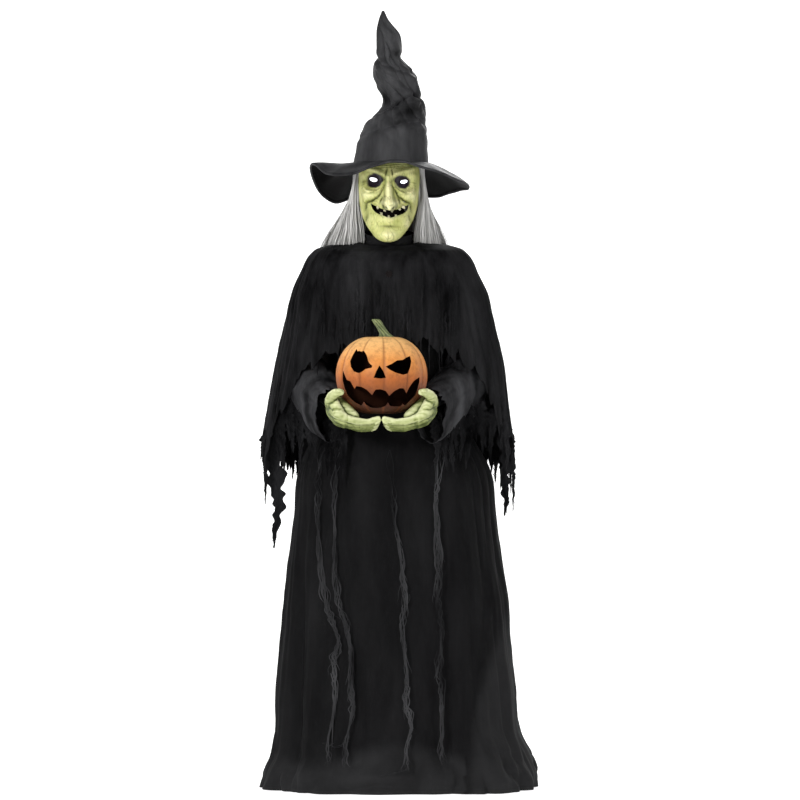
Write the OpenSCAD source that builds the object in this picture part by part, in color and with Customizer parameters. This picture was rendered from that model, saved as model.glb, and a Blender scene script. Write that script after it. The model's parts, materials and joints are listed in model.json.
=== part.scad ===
// Animated standing witch: a tube frame under a cloth robe, a motor-driven head
// with a moving jaw, and two hands that hold a hollow carved pumpkin lamp.
// The front faces -Y, the floor is z = 0 and all lengths are millimetres.

/* [Figure] */
// Height from the floor to the tip of the hat
figure_h = 1830; // [1810:5:1850]
// Width of the hem where it lies on the floor
hem_w = 658; // [640:2:670]
// Depth of the hem where it lies on the floor
hem_d = 592; // [580:2:600]
// Thickness of the robe and the cape as solids
cloth_t = 2.5; // [2:0.5:3]

/* [Frame] */
// Outer diameter of the base bars and the pole
pole_d = 25.4; // [24:0.2:25.4]
// Wall of every steel tube
tube_wall = 1.5; // [1.2:0.1:2]
// Outer diameter of the shoulder tube
shoulder_d = 19; // [18:0.5:19]
// Outer diameter of the arm tubes
arm_d = 16; // [14:0.5:16]
// Length of each bar that lies across the base
base_bar_l = 360; // [340:5:370]
// Diameter of the wire hoop that holds the skirt out
hoop_d = 400; // [380:5:400]

/* [Head] */
// Outer diameter of the skull shell
skull_d = 132; // [130:1:132]
// Spacing of the two eyes
eye_gap = 68; // [64:1:70]
// Number of teeth on the neck gear
neck_teeth = 40; // [40:1:40]
// Number of teeth on the jaw sector's full circle
jaw_teeth = 36; // [36:1:36]
// Number of teeth on both motor pinions
pinion_teeth = 14; // [14:1:14]

/* [Pumpkin] */
// Width of the pumpkin
pumpkin_d = 211; // [200:1:212]
// Height of the pumpkin without its stem
pumpkin_h = 188; // [180:1:188]
// Wall of the pumpkin
pumpkin_t = 7; // [5:0.5:8]

/* [Hidden] */
$fn = 48;

gap = 0.2; // clearance of a tube in its socket
axis_x = -26; // the pole and the neck stand here
axis_y = 50;
pole_r = pole_d / 2;

// ---- Base ----
bar_z = 18; // centre of the cross bars
bar_front_y = -140;
bar_rear_y = 165;
spine_z = bar_z + pole_d + gap;
spine_top = spine_z + pole_r;
socket_top = 180;

// ---- Pole ----
joint_z = [560, 1010]; // where the pole's three sections meet
pole_top = 1187;
spigot_l = 60;
snap_drop = 25; // a snap button sits this far below a joint
snap_r = 3.5;
snap_travel = 3;
spigot_r = pole_r - tube_wall - gap;
hub_z = 420; // skirt hoop
hoop_c = [-15, 28];

// ---- Shoulders and arms ----
shoulder_z = 1200;
shoulder_x = 172;
joint_r = 20;
elbow_x = 212;
elbow_y = 70;
elbow_z = 950;
arm_r = arm_d / 2;
tube_start = 11; // a tube stops this far from the centre of its joint

// ---- Neck drive ----
tee_low = 1165;
tee_top = 1225;
gearbox_z = 1226;
gearbox_h = 24;
gear_z = 1232;
gear_w = 8;
neck_module = 1.5;
jaw_module = 1;
shaft_r = 8;
neck_gear_r = neck_module * neck_teeth / 2;
neck_pinion_r = neck_module * pinion_teeth / 2;
motor_y = axis_y + neck_gear_r + neck_pinion_r;

// ---- Head ----
chassis_z = 1322;
jaw_pivot = [-5, 1385]; // y from the neck axis, z
jaw_gear_r = jaw_module * jaw_teeth / 2;
jaw_pinion_r = jaw_module * pinion_teeth / 2;
jaw_motor_z = jaw_pivot[1] + jaw_gear_r + jaw_pinion_r;
upright_x = 45.5;
ear_x = 50.5;
ear_w = 5;
skull_r = skull_d / 2;
skull_t = 3;
skull_c = 1440; // centre of the domed top
eye_z = 1428;
brim_z = 1468;

// ---- Pumpkin and hands ----
pumpkin_c = [-43, -190, 964];
wrist_x = 118; // from the pumpkin's centre
wrist_y = -120;
wrist_z = 893;

// ---- Chest and control box ----
chest_z = [1020, 1158];
chest_hw = 72;
chest_front_y = 5; // y of the front wall's outside
chest_back_y = 90;
box_z = [600, 730];
box_hw = 42;
box_front_y = axis_y + 14;
// the two sockets open downwards, beside the battery bay
socket_x = axis_x + 33;
socket_ys = [box_front_y + 20.5, box_front_y + 31.5];
box_depth = 40;
door_z = [606, 668];
door_pin_r = 1.5;

// =================================================================
// Helpers
// =================================================================

// Keeps a cloth shell as one mesh
module as_mesh() {
    resize([0, 0, 0]) children();
}

// Round rod from a to b
module rod(a, b, r) {
    d = b - a;
    l = norm(d);
    translate(a)
        rotate([0, acos(d[2] / l), atan2(d[1], d[0])])
            cylinder(r = r, h = l);
}

// Round tube from a to b
module pipe(a, b, r, wall) {
    u = (b - a) / norm(b - a);
    difference() {
        rod(a, b, r);
        rod(a - u, b + u, r - wall);
    }
}

// A point from a towards b, this far along
function toward(a, b, s) = a + (b - a) / norm(b - a) * s;

function pow_sign(v, p) = sign(v) * pow(abs(v), p);

// A ring is [z, centre x, centre y, half width, half depth]. Its outline is a rounded oval.
oval = 2.6;
function ring_point(r, a) = [
    r[1] + r[3] * pow_sign(cos(a), 2 / oval),
    r[2] + r[4] * pow_sign(sin(a), 2 / oval),
    r[0]
];
function inset(r, t) = [r[0], r[1], r[2], max(r[3] - t, 0.5), max(r[4] - t, 0.5)];
function ring_layer(r, n) = [for (i = [0:n - 1]) ring_point(r, i * 360 / n)];

// Solid through layers of n points each, from the lowest layer up
module loft(layers) {
    n = len(layers[0]);
    m = len(layers);
    side = [
        for (k = [0:m - 2]) for (i = [0:n - 1]) let (j = (i + 1) % n)
            each [[k * n + i, (k + 1) * n + i, k * n + j],
                  [k * n + j, (k + 1) * n + i, (k + 1) * n + j]]
    ];
    bottom = [for (i = [0:n - 1]) i];
    top = [for (i = [n - 1:-1:0]) (m - 1) * n + i];
    polyhedron([for (l = layers) each l], concat(side, [bottom], [top]));
}

// Sheet of wall t between an outer and an inner grid of points, open along all its edges
module grid_shell(outer, inner) {
    m = len(outer);
    n = len(outer[0]);
    function o(k, i) = k * n + i;
    function p(k, i) = m * n + k * n + i;
    faces = concat(
        [for (k = [0:m - 2]) for (i = [0:n - 2])
            each [[o(k, i), o(k, i + 1), o(k + 1, i)], [o(k, i + 1), o(k + 1, i + 1), o(k + 1, i)],
                  [p(k, i), p(k + 1, i), p(k, i + 1)], [p(k, i + 1), p(k + 1, i), p(k + 1, i + 1)]]],
        [for (k = [0:m - 2])
            each [[o(k, 0), o(k + 1, 0), p(k, 0)], [p(k, 0), o(k + 1, 0), p(k + 1, 0)],
                  [o(k, n - 1), p(k, n - 1), o(k + 1, n - 1)],
                  [p(k, n - 1), p(k + 1, n - 1), o(k + 1, n - 1)]]],
        [for (i = [0:n - 2])
            each [[o(0, i), p(0, i), o(0, i + 1)], [p(0, i), p(0, i + 1), o(0, i + 1)],
                  [o(m - 1, i), o(m - 1, i + 1), p(m - 1, i)],
                  [p(m - 1, i), o(m - 1, i + 1), p(m - 1, i + 1)]]]);
    polyhedron(concat([for (r = outer) each r], [for (r = inner) each r]), faces);
}

// Open-ended cloth shell through rings
module cloth_shell(rings, t, n) {
    last = len(rings) - 1;
    inner = [for (i = [0:last]) let (r = inset(rings[i], t), dz = i == 0 ? -1 : i == last ? 1 : 0)
        [r[0] + dz, r[1], r[2], r[3], r[4]]];
    difference() {
        loft([for (r = rings) ring_layer(r, n)]);
        loft([for (r = inner) ring_layer(r, n)]);
    }
}

// Involute spur gear outline, with short teeth at a pressure angle of 25 degrees
pressure = 25;
backlash = 0.14;
function inv(a) = tan(a) * 180 / PI - a;
function half_tooth(m, n, r) =
    let (rp = m * n / 2, rb = rp * cos(pressure))
    90 / n - backlash / 2 / rp * 180 / PI + inv(pressure) - inv(acos(min(1, rb / max(r, rb))));
module gear_outline(m, n, first = 0, last = -1) {
    rp = m * n / 2;
    ra = rp + 0.8 * m;
    rf = rp - 1.15 * m;
    steps = [0:4];
    end = last < 0 ? n - 1 : last;
    tooth = [
        [rf, -half_tooth(m, n, rf)],
        for (s = steps) let (r = rf + (ra - rf) * (s + 1) / 5) [r, -half_tooth(m, n, r)],
        for (s = steps) let (r = ra - (ra - rf) * s / 5) [r, half_tooth(m, n, r)],
        [rf, half_tooth(m, n, rf)]
    ];
    wheel = [for (k = [first:end]) for (p = tooth)
        let (a = p[1] + k * 360 / n) [p[0] * cos(a), p[0] * sin(a)]];
    polygon(last < 0 ? wheel : concat(wheel, [[0, 0]]));
}

// Screw along +Z with its head at the bottom
module screw(r, l, head_r, head_h) {
    cylinder(r = r, h = l);
    translate([0, 0, -head_h]) cylinder(r = head_r, h = head_h);
}

// =================================================================
// Base
// =================================================================

bar_ys = [bar_front_y, bar_rear_y];
pad_size = [34, 40, 34];

module base_bars() {
    color("dimgray")
        for (y = bar_ys)
            difference() {
                pipe([axis_x - base_bar_l / 2, y, bar_z], [axis_x + base_bar_l / 2, y, bar_z],
                     pole_r, tube_wall);
                translate([axis_x, y, 0]) cylinder(r = 3.3, h = 60);
            }
}

module base_spine() {
    color("dimgray") difference() {
        union() {
            rod([axis_x, bar_front_y - 20, spine_z], [axis_x, bar_rear_y + 20, spine_z], pole_r);
            translate([axis_x, axis_y, spine_z]) cylinder(r = pole_r + gap + 2, h = socket_top - spine_z);
        }
        rod([axis_x, bar_front_y - 21, spine_z], [axis_x, bar_rear_y + 21, spine_z],
            pole_r - tube_wall);
        translate([axis_x, axis_y, spine_top + 3]) cylinder(r = pole_r + gap, h = socket_top);
        for (y = bar_ys) translate([axis_x, y, 0]) cylinder(r = 3.3, h = 80);
    }
}

module foot_pads() {
    color("black")
        for (y = bar_ys) for (s = [-1, 1])
            translate([axis_x + s * (base_bar_l / 2 + 4), y, 0])
                difference() {
                    translate([-pad_size[0] / 2, -pad_size[1] / 2, 0]) cube([pad_size[0], pad_size[1], pad_size[2]]);
                    rod([0, 0, bar_z], [-s * 30, 0, bar_z], pole_r + 0.1);
                    rod([s * -4, 0, bar_z], [-s * 30, 0, bar_z], pole_r + 0.1);
                }
}

module base_bolts() {
    nut_z = bar_z - pole_r - 5;
    color("silver")
        for (y = bar_ys) translate([axis_x, y, 0]) {
            translate([0, 0, nut_z - 0.5]) cylinder(r = 3, h = spine_top - nut_z + 1);
            translate([0, 0, spine_top + 0.1]) cylinder(r = 7, h = 3.5);
            translate([0, 0, nut_z]) cylinder(r = 5.8, h = 4.8, $fn = 6);
        }
}

// =================================================================
// Pole
// =================================================================

function on_axis(z) = [axis_x, axis_y, z];

// One section of the pole, with an optional spigot below it and a snap hole near its top
module pole_section(low, high, spigot, hole_z) {
    color("dimgray") difference() {
        union() {
            rod(on_axis(low), on_axis(high), pole_r);
            if (spigot) rod(on_axis(low - spigot_l), on_axis(low + 5), spigot_r);
        }
        rod(on_axis(low - spigot_l - 1), on_axis(high + 1), spigot_r - tube_wall);
        rod(on_axis(spigot ? low + 5 : low - 1), on_axis(high + 1), pole_r - tube_wall);
        if (spigot)
            rod([axis_x, axis_y, low - snap_drop], [axis_x, axis_y - 30, low - snap_drop], snap_r + 0.1);
        if (hole_z > 0)
            rod([axis_x, axis_y, hole_z], [axis_x, axis_y - 30, hole_z], snap_r + 0.1);
    }
}
module lower_pole() pole_section(spine_top + 3.2, joint_z[0], false, joint_z[0] + gap - snap_drop);
module middle_pole() pole_section(joint_z[0] + gap, joint_z[1], true, joint_z[1] + gap - snap_drop);
module upper_pole() pole_section(joint_z[1] + gap, pole_top, true, 0);

// The button stands out of both tubes. Its collar stays inside the spigot.
module snap_button(z) {
    y = axis_y - spigot_r + tube_wall;
    color("silver") {
        rod([axis_x, y + 2.4, z], [axis_x, axis_y - pole_r - snap_travel - 0.2, z], snap_r);
        rod([axis_x, y + 2.4, z], [axis_x, y + 1.2, z], 4.2);
    }
}
module snap_button_lower() snap_button(joint_z[0] + gap - snap_drop);
module snap_button_upper() snap_button(joint_z[1] + gap - snap_drop);

// Wire hoop with four spokes welded to a ring that grips the pole
module skirt_hoop() {
    hoop_r = hoop_d / 2;
    wire_r = 2.5;
    color("gray") difference() {
        union() {
            translate([hoop_c[0], hoop_c[1], hub_z])
                rotate_extrude() translate([hoop_r, 0]) circle(r = wire_r);
            for (a = [45:90:315]) {
                out = [hoop_c[0] + hoop_r * cos(a), hoop_c[1] + hoop_r * sin(a), hub_z];
                rod(toward(on_axis(hub_z), out, pole_r + 4), out, wire_r - 0.5);
            }
            translate([axis_x, axis_y, hub_z - 14]) cylinder(r = pole_r + 8, h = 28);
        }
        translate([axis_x, axis_y, hub_z - 15]) cylinder(r = pole_r + 0.1, h = 30);
    }
}

// =================================================================
// Shoulders and arms. s is -1 for the left side of the view and 1 for the right.
// =================================================================

function shoulder_at(s) = [axis_x + s * shoulder_x, axis_y, shoulder_z];
function elbow_at(s) = [axis_x + s * elbow_x, elbow_y, elbow_z];
function wrist_at(s) = [pumpkin_c[0] + s * wrist_x, wrist_y, wrist_z];

module shoulder_tee() {
    color("gray") difference() {
        translate([axis_x - 27, axis_y - 27, tee_low]) cube([54, 54, tee_top - tee_low]);
        rod(on_axis(tee_low - 1), on_axis(pole_top + 0.5), pole_r + 0.1);
        rod([axis_x - 30, axis_y, shoulder_z], [axis_x + 30, axis_y, shoulder_z], shoulder_d / 2 + 0.1);
        rod(on_axis(tee_top - 11), on_axis(tee_top + 1), shaft_r + 0.08);
        rod([axis_x, axis_y - 20, shoulder_z + 3], [axis_x, axis_y - 30, shoulder_z + 3], 6);
    }
}

module shoulder_tube() {
    half = shoulder_x - tube_start + 2;
    color("dimgray")
        pipe([axis_x - half, axis_y, shoulder_z], [axis_x + half, axis_y, shoulder_z],
             shoulder_d / 2, tube_wall);
}

// Foam rolls on the shoulder tube between the tee and the arm joints
module shoulder_pads() {
    start = 96;
    profile = [[shoulder_d / 2 + 0.1, 0], [34, 0], [41, 6], [44, 18], [44, 34], [41, 46], [34, 52],
               [shoulder_d / 2 + 0.1, 52]];
    color("black") for (s = [-1, 1])
        translate([axis_x + s * start, axis_y, shoulder_z]) rotate([0, s * 90, 0])
            rotate_extrude() polygon(profile);
}

module upper_arm(s) {
    a = toward(shoulder_at(s), elbow_at(s), tube_start + 2);
    b = toward(elbow_at(s), shoulder_at(s), tube_start);
    color("dimgray") pipe(a, b, arm_r, tube_wall);
}
module upper_arm_left() upper_arm(-1);
module upper_arm_right() upper_arm(1);

module forearm(s) {
    color("dimgray") pipe(toward(elbow_at(s), wrist_at(s), tube_start), wrist_at(s), arm_r, tube_wall);
}
module forearm_left() forearm(-1);
module forearm_right() forearm(1);

// Moulded ball joints that take the tube ends at the shoulders and the elbows
module arm_joints() {
    color("black") for (s = [-1, 1]) {
        difference() {
            translate(shoulder_at(s)) sphere(r = joint_r);
            rod(toward(shoulder_at(s), on_axis(shoulder_z), tube_start - 2.5), on_axis(shoulder_z),
                shoulder_d / 2 + 0.1);
            rod(toward(shoulder_at(s), elbow_at(s), tube_start + 1.5), elbow_at(s), arm_r + 0.1);
        }
        difference() {
            translate(elbow_at(s)) sphere(r = joint_r);
            rod(toward(elbow_at(s), shoulder_at(s), tube_start - 0.5), shoulder_at(s), arm_r + 0.1);
            rod(toward(elbow_at(s), wrist_at(s), tube_start - 0.5), wrist_at(s), arm_r + 0.1);
        }
    }
}

// =================================================================
// Chest box with the speaker, the board and the motion sensor
// =================================================================

screw_xs = [axis_x - chest_hw + 9, axis_x + chest_hw - 9];
screw_zs = [chest_z[0] + 10, chest_z[1] - 10];

// Half of the chest box between two depths
module chest_half(y0, y1, wall) {
    w = 2 * chest_hw;
    h = chest_z[1] - chest_z[0];
    difference() {
        union() {
            difference() {
                translate([axis_x - chest_hw, y0, chest_z[0]]) cube([w, y1 - y0, h]);
                translate([axis_x - chest_hw + wall, y0 == chest_front_y ? y0 + wall : y0 - 1,
                           chest_z[0] + wall])
                    cube([w - 2 * wall, y1 - y0 - wall + 1, h - 2 * wall]);
            }
            for (x = screw_xs) for (z = screw_zs) rod([x, y0, z], [x, y1, z], 5);
        }
        rod(on_axis(chest_z[0] - 1), on_axis(chest_z[1] + 1), pole_r + 0.2);
        for (x = screw_xs) for (z = screw_zs) rod([x, y0 + (y0 == chest_front_y ? 4 : -1), z], [x, y1 + 1, z], 1.6);
    }
}

speaker_z = 1085;
speaker_r = 33;

module chest_front() {
    color("black") difference() {
        chest_half(chest_front_y, axis_y - 0.1, 2.5);
        translate([axis_x, chest_front_y, speaker_z]) for (ring = [0:2])
            for (k = [0:max(0, 6 * ring - 1)])
                rotate([90, k * 360 / max(1, 6 * ring), 0])
                    translate([0, 10 * ring, -5]) cylinder(r = 2.4, h = 10, $fn = 16);
    }
}

module chest_rear() {
    color("black") {
        difference() {
            chest_half(axis_y + 0.1, chest_back_y, 2.5);
            translate([axis_x - 20, chest_back_y - 5, chest_z[0] + 20]) cube([40, 10, 6]);
            rod([axis_x + 20, axis_y + 24, chest_z[0] - 1], [axis_x + 20, axis_y + 24, chest_z[0] + 5], 2.7);
        }
        for (x = [axis_x - 42, axis_x + 42]) for (z = [1070, 1120])
            rod([x, chest_back_y - 2.5, z], [x, chest_back_y - 10, z], 3);
    }
}

module chest_screws() {
    color("silver") for (x = screw_xs) for (z = screw_zs)
        translate([x, chest_back_y, z]) rotate([90, 0, 0]) screw(1.5, 76, 3.4, 2);
}

module speaker() {
    front = chest_front_y + 2.7;
    color("dimgray") {
        rod([axis_x, front, speaker_z], [axis_x, front + 3, speaker_z], speaker_r);
        translate([axis_x, front + 3, speaker_z]) rotate([-90, 0, 0])
            cylinder(r1 = speaker_r - 3, r2 = 16, h = 12);
        rod([axis_x, front + 15, speaker_z], [axis_x, front + 27, speaker_z], 17);
    }
}

module sound_board() {
    y = chest_back_y - 10.2;
    color("darkgreen") {
        translate([axis_x - 50, y - 1.6, 1062]) cube([100, 1.6, 66]);
        translate([axis_x - 30, y - 4, 1090]) cube([16, 2.5, 16]);
        translate([axis_x + 8, y - 4, 1100]) cube([20, 2.5, 10]);
        for (x = [-8, 34]) rod([axis_x + x, y - 1.5, 1076], [axis_x + x, y - 13, 1076], 4);
        translate([axis_x - 44, y - 8, 1068]) cube([12, 6.5, 8]);
    }
}

// Sensor pod that stands out through the front of the robe
module motion_sensor() {
    z = shoulder_z + 3;
    front = axis_y - 120;
    color("black") {
        rod([axis_x, axis_y - 20.2, z], [axis_x, axis_y - 28, z], 5.9);
        difference() {
            rod([axis_x, axis_y - 27.1, z], [axis_x, front, z], 8);
            rod([axis_x, front + 4, z], [axis_x, front - 1, z], 6.5);
        }
    }
    color("darkred") rod([axis_x, front + 4, z], [axis_x, front + 1, z], 6.5);
}

// =================================================================
// Neck gearbox
// =================================================================

box_w = 72;
box_back = motor_y + neck_pinion_r + 6;
box_front = axis_y - neck_gear_r - 6;

module gearbox_base() {
    color("black") difference() {
        translate([axis_x - box_w / 2, box_front, gearbox_z]) cube([box_w, box_back - box_front, gearbox_h]);
        translate([axis_x - box_w / 2 + 2.5, box_front + 2.5, gearbox_z + 3])
            cube([box_w - 5, box_back - box_front - 5, gearbox_h]);
        rod(on_axis(gearbox_z - 1), on_axis(gearbox_z + 5), shaft_r + 0.08);
        rod([axis_x, motor_y, gearbox_z - 1], [axis_x, motor_y, gearbox_z + 5], 3);
    }
}

module gearbox_cover() {
    z = gearbox_z + gearbox_h + 0.1;
    color("black") difference() {
        translate([axis_x - box_w / 2, box_front, z]) cube([box_w, box_back - box_front, 3]);
        rod(on_axis(z - 1), on_axis(z + 5), shaft_r + 0.08);
    }
}

module neck_motor() {
    color("silver") {
        rod([axis_x, motor_y, gearbox_z - 32], [axis_x, motor_y, gearbox_z - 0.1], 12);
        rod([axis_x, motor_y, gearbox_z - 36], [axis_x, motor_y, gearbox_z - 31], 4);
    }
}

// Pinion with the motor's output shaft
module motor_pinion() {
    color("gold") translate([axis_x, motor_y, 0]) {
        translate([0, 0, gear_z]) linear_extrude(gear_w)
            rotate(-90 + 180 / pinion_teeth) gear_outline(neck_module, pinion_teeth);
        translate([0, 0, gearbox_z + 0.1]) cylinder(r = 2.5, h = 14);
    }
}

module neck_gear() {
    color("gold") translate([axis_x, axis_y, 0]) difference() {
        union() {
            translate([0, 0, gear_z]) linear_extrude(gear_w)
                rotate(90) gear_outline(neck_module, neck_teeth);
            translate([0, 0, gear_z]) cylinder(r = 13, h = 14);
        }
        translate([0, 0, gear_z - 1]) cylinder(r = shaft_r + 0.05, h = 20);
    }
}

module neck_shaft() {
    color("silver") difference() {
        union() {
            rod(on_axis(tee_top - 10.9), on_axis(chassis_z - 0.1), shaft_r);
            rod(on_axis(chassis_z - 6), on_axis(chassis_z - 0.1), 18);
        }
        rod(on_axis(tee_top - 12), on_axis(chassis_z + 1), shaft_r - 2.5);
    }
}

// =================================================================
// Head: x is measured from the neck axis inside this block
// =================================================================

module at_neck() {
    translate([axis_x, axis_y, 0]) children();
}

// Extrudes an outline drawn in y and z along x, from x0 to x1
module along_x(x0, x1) {
    translate([x0, 0, 0]) rotate([90, 0, 90]) linear_extrude(x1 - x0) children();
}

module head_chassis() {
    y0 = jaw_pivot[0] - 9;
    color("dimgray") at_neck() difference() {
        union() {
            translate([0, 0, chassis_z]) cylinder(r = 43, h = 3);
            translate([upright_x, y0, chassis_z]) cube([3, 18, jaw_motor_z + 14 - chassis_z]);
            translate([-upright_x - 3, y0, chassis_z]) cube([3, 18, jaw_pivot[1] + 10 - chassis_z]);
            for (s = [-1, 1]) {
                translate([min(s * 30, s * 48.5), y0, chassis_z]) cube([18.5, 18, 3]);
                rod([s * 47, jaw_pivot[0], jaw_pivot[1]], [s * 57, jaw_pivot[0], jaw_pivot[1]], 2.95);
                rod([s * 56.2, jaw_pivot[0], jaw_pivot[1]], [s * 58.2, jaw_pivot[0], jaw_pivot[1]], 4.5);
            }
            translate([-9, 36, chassis_z]) cube([18, 6, 40]);
            translate([-9, 40, chassis_z + 26]) cube([18, 22, 4]);
        }
        translate([0, 0, chassis_z - 1]) cylinder(r = 5.5, h = 5);
        rod([40, jaw_pivot[0], jaw_motor_z], [60, jaw_pivot[0], jaw_motor_z], 3);
    }
}

// Half of the skull shell, from z = low to its domed top
module skull_half(low) {
    rotate_extrude(angle = 180) {
        translate([skull_r - skull_t, low]) square([skull_t, skull_c - low]);
        translate([0, skull_c]) difference() {
            circle(r = skull_r);
            circle(r = skull_r - skull_t);
            translate([-100, -50]) square([100, 200]);
            translate([-50, -100]) square([150, 100]);
        }
    }
}

module skull_front() {
    color("silver") at_neck() difference() {
        union() {
            translate([0, -0.1, 0]) rotate(180) skull_half(1352);
            // posts that carry the mask
            for (s = [-1, 1]) for (e = [[1372, -78.4], [1450, -71.4]])
                rod([s * 28, -57, e[0]], [s * 34, e[1], e[0]], 3);
        }
        for (s = [-1, 1]) rod([s * eye_gap / 2, -30, eye_z], [s * eye_gap / 2, -80, eye_z], 9.2);
    }
}

module skull_rear() {
    color("silver") at_neck() translate([0, 0.1, 0]) skull_half(1340);
}

module eye_lenses() {
    color("white") at_neck() for (s = [-1, 1]) {
        rod([s * eye_gap / 2, -39, eye_z], [s * eye_gap / 2, -72, eye_z], 9);
        translate([s * eye_gap / 2, -72, eye_z]) sphere(r = 9);
        rod([s * eye_gap / 2, -38, eye_z], [s * eye_gap / 2, -41, eye_z], 11);
    }
}

// Mask layer: half width, depth and back line at one height, with the nose drawn out
mask_steps = 30;
function nose_out(x, z) =
    z > 1442 || z < 1350 ? 0
    : 34 * exp(-x * x / 170) * pow((1442 - z) / 90, 1.2) * (z < 1362 ? (z - 1350) / 12 : 1);
function mask_point(r, t, off) =
    let (x = (r[1] - off) * sin(t), y = r[3] - (r[2] - off) * cos(t))
    [x, y - (abs(t) < 60 ? nose_out(x, r[0]) : 0), r[0]];
function mask_grid(rings, off) =
    [for (r = rings) [for (i = [0:mask_steps]) mask_point(r, -84 + i * 168 / mask_steps, off)]];

mask_t = 2.5;
face_rings = [ // z, half width, depth, back line
    [1353, 66, 86, -8], [1360, 68, 88, -8], [1368, 69, 89, -8], [1380, 70, 88, -8],
    [1395, 71.5, 87, -8], [1412, 72, 86, -8], [1430, 72, 82, -8], [1446, 71.5, 80, -8],
    [1458, 71, 76, -8]
];
chin_rings = [
    [1288, 15, 24, -78], [1294, 25, 34, -72], [1302, 36, 46, -60], [1314, 48, 60, -46],
    [1328, 58, 74, -30], [1350, 65, 86, -14]
];

module mask_face() {
    color("darkkhaki") at_neck() as_mesh() difference() {
        grid_shell(mask_grid(face_rings, 0), mask_grid(face_rings, mask_t));
        for (s = [-1, 1]) rod([s * eye_gap / 2, -40, eye_z], [s * eye_gap / 2, -130, eye_z], 13);
    }
}

module mask_chin() {
    color("darkkhaki") at_neck()
        grid_shell(mask_grid(chin_rings, 0), mask_grid(chin_rings, mask_t));
}

module jaw_frame() {
    band_r = 54;
    color("gray") at_neck() {
        difference() {
            union() {
                // right ear with the gear sector
                along_x(ear_x, ear_x + ear_w) translate(jaw_pivot) {
                    rotate(90 - 30) gear_outline(jaw_module, jaw_teeth, 0, 6);
                    circle(r = 9);
                }
                along_x(-ear_x - ear_w, -ear_x) translate(jaw_pivot) circle(r = 9);
                for (x = [ear_x, -ear_x - ear_w])
                    translate([x, -19, 1326]) cube([ear_w, 13, 58]);
                translate([0, -12, 1326]) rotate(180) rotate_extrude(angle = 180)
                    translate([band_r - 4, 0]) square([4, 10]);
                // post that carries the chin
                rod([0, -64, 1331], [0, -99.8, 1331], 4);
            }
            rod([-60, jaw_pivot[0], jaw_pivot[1]], [60, jaw_pivot[0], jaw_pivot[1]], 3);
        }
    }
}

module jaw_motor() {
    color("silver") at_neck() {
        rod([15, jaw_pivot[0], jaw_motor_z], [upright_x - 0.1, jaw_pivot[0], jaw_motor_z], 11);
        rod([11, jaw_pivot[0], jaw_motor_z], [16, jaw_pivot[0], jaw_motor_z], 4);
    }
}

module jaw_pinion() {
    color("gold") at_neck() {
        along_x(ear_x, ear_x + ear_w) translate([jaw_pivot[0], jaw_motor_z])
            rotate(-90 + 180 / pinion_teeth) gear_outline(jaw_module, pinion_teeth);
        rod([upright_x + 0.1, jaw_pivot[0], jaw_motor_z], [ear_x + 1, jaw_pivot[0], jaw_motor_z], 2.5);
    }
}

module wig() {
    profile = [[150, 1299], [118, 1322], [98, 1350], [88, 1385], [84, 1420], [79, 1455], [74, 1488],
               [69, 1488], [73, 1455], [77, 1420], [80, 1385], [89, 1350], [109, 1322], [141, 1299]];
    color("gray") at_neck() rotate([0, 0, -8]) rotate_extrude(angle = 196) polygon(profile);
}

// Hat layers: z above the brim, centre x, centre y, half width and half depth
hat_top = figure_h - brim_z;
hat_rings = [
    [0, -22, 48, 87, 92], [30, -19, 48, 83, 87], [60, -15, 48, 78, 80], [88, -10, 50, 70, 70],
    [106, -3, 52, 61, 60], [127, 6, 54, 49, 50], [158, 4, 54, 44, 44], [184, -6, 52, 47, 42],
    [206, -14, 50, 48, 38], [226, -19, 50, 43, 34], [248, -27, 50, 28, 28], [276, -26, 50, 29, 27],
    [306, -27, 50, 24, 22], [326, -34, 50, 17, 15], [344, -39, 50, 10, 9], [hat_top, -41, 50, 1.5, 1.5]
];
function hat_layer(r, t, dz) = ring_layer(inset([brim_z + r[0] + dz, r[1], r[2], r[3], r[4]], t), 28);

module hat_crown() {
    felt = 3;
    hollow = [for (i = [0:9]) hat_rings[i]];
    color("black") as_mesh() difference() {
        loft([for (r = hat_rings) hat_layer(r, 0, 0)]);
        loft([for (i = [0:9]) hat_layer(hollow[i], felt, i == 0 ? -1 : 0)]);
    }
}

// Height of the brim's edge around the hat, as [angle from +X, height above the brim line, reach]
brim_edge = [
    [-90, 4, 158], [-60, -2, 170], [-30, -30, 182], [0, -56, 183], [30, -76, 176], [60, -74, 168],
    [90, -62, 165], [120, -72, 168], [145, -84, 172], [165, -60, 182], [180, -18, 190],
    [200, -8, 182], [225, -8, 170], [250, 0, 160], [270, 4, 158]
];
function edge_at(a, k) = lookup(a, [for (e = brim_edge) [e[0], e[k]]]);
function brim_point(a, s, lift) =
    let (in_x = 89.5, in_y = 94.5, out = edge_at(a, 2), drop = edge_at(a, 1))
    [-22 + cos(a) * (in_x + (out - in_x) * s), 48 + sin(a) * (in_y + (out - in_y) * s),
     brim_z + drop * pow(s, 1.4) + lift];

module hat_brim() {
    n = 60;
    m = 5;
    function layer(s, lift) = [for (i = [0:n - 1]) brim_point(-90 + i * 360 / n, s, lift)];
    pts = concat([for (k = [0:m]) each layer(k / m, 0)], [for (k = [0:m]) each layer(k / m, -3)]);
    low = (m + 1) * n;
    faces = [for (k = [0:m - 1]) for (i = [0:n - 1]) let (j = (i + 1) % n,
                a = k * n + i, b = k * n + j, c = (k + 1) * n + i, d = (k + 1) * n + j)
        each [[a, b, c], [b, d, c], [low + a, low + c, low + b], [low + b, low + c, low + d]]];
    rims = [for (i = [0:n - 1]) let (j = (i + 1) % n, e = m * n)
        each [[i, low + i, j], [j, low + i, low + j],
              [e + i, e + j, low + e + i], [e + j, low + e + j, low + e + i]]];
    color("black") polyhedron(pts, concat(faces, rims));
}

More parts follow.
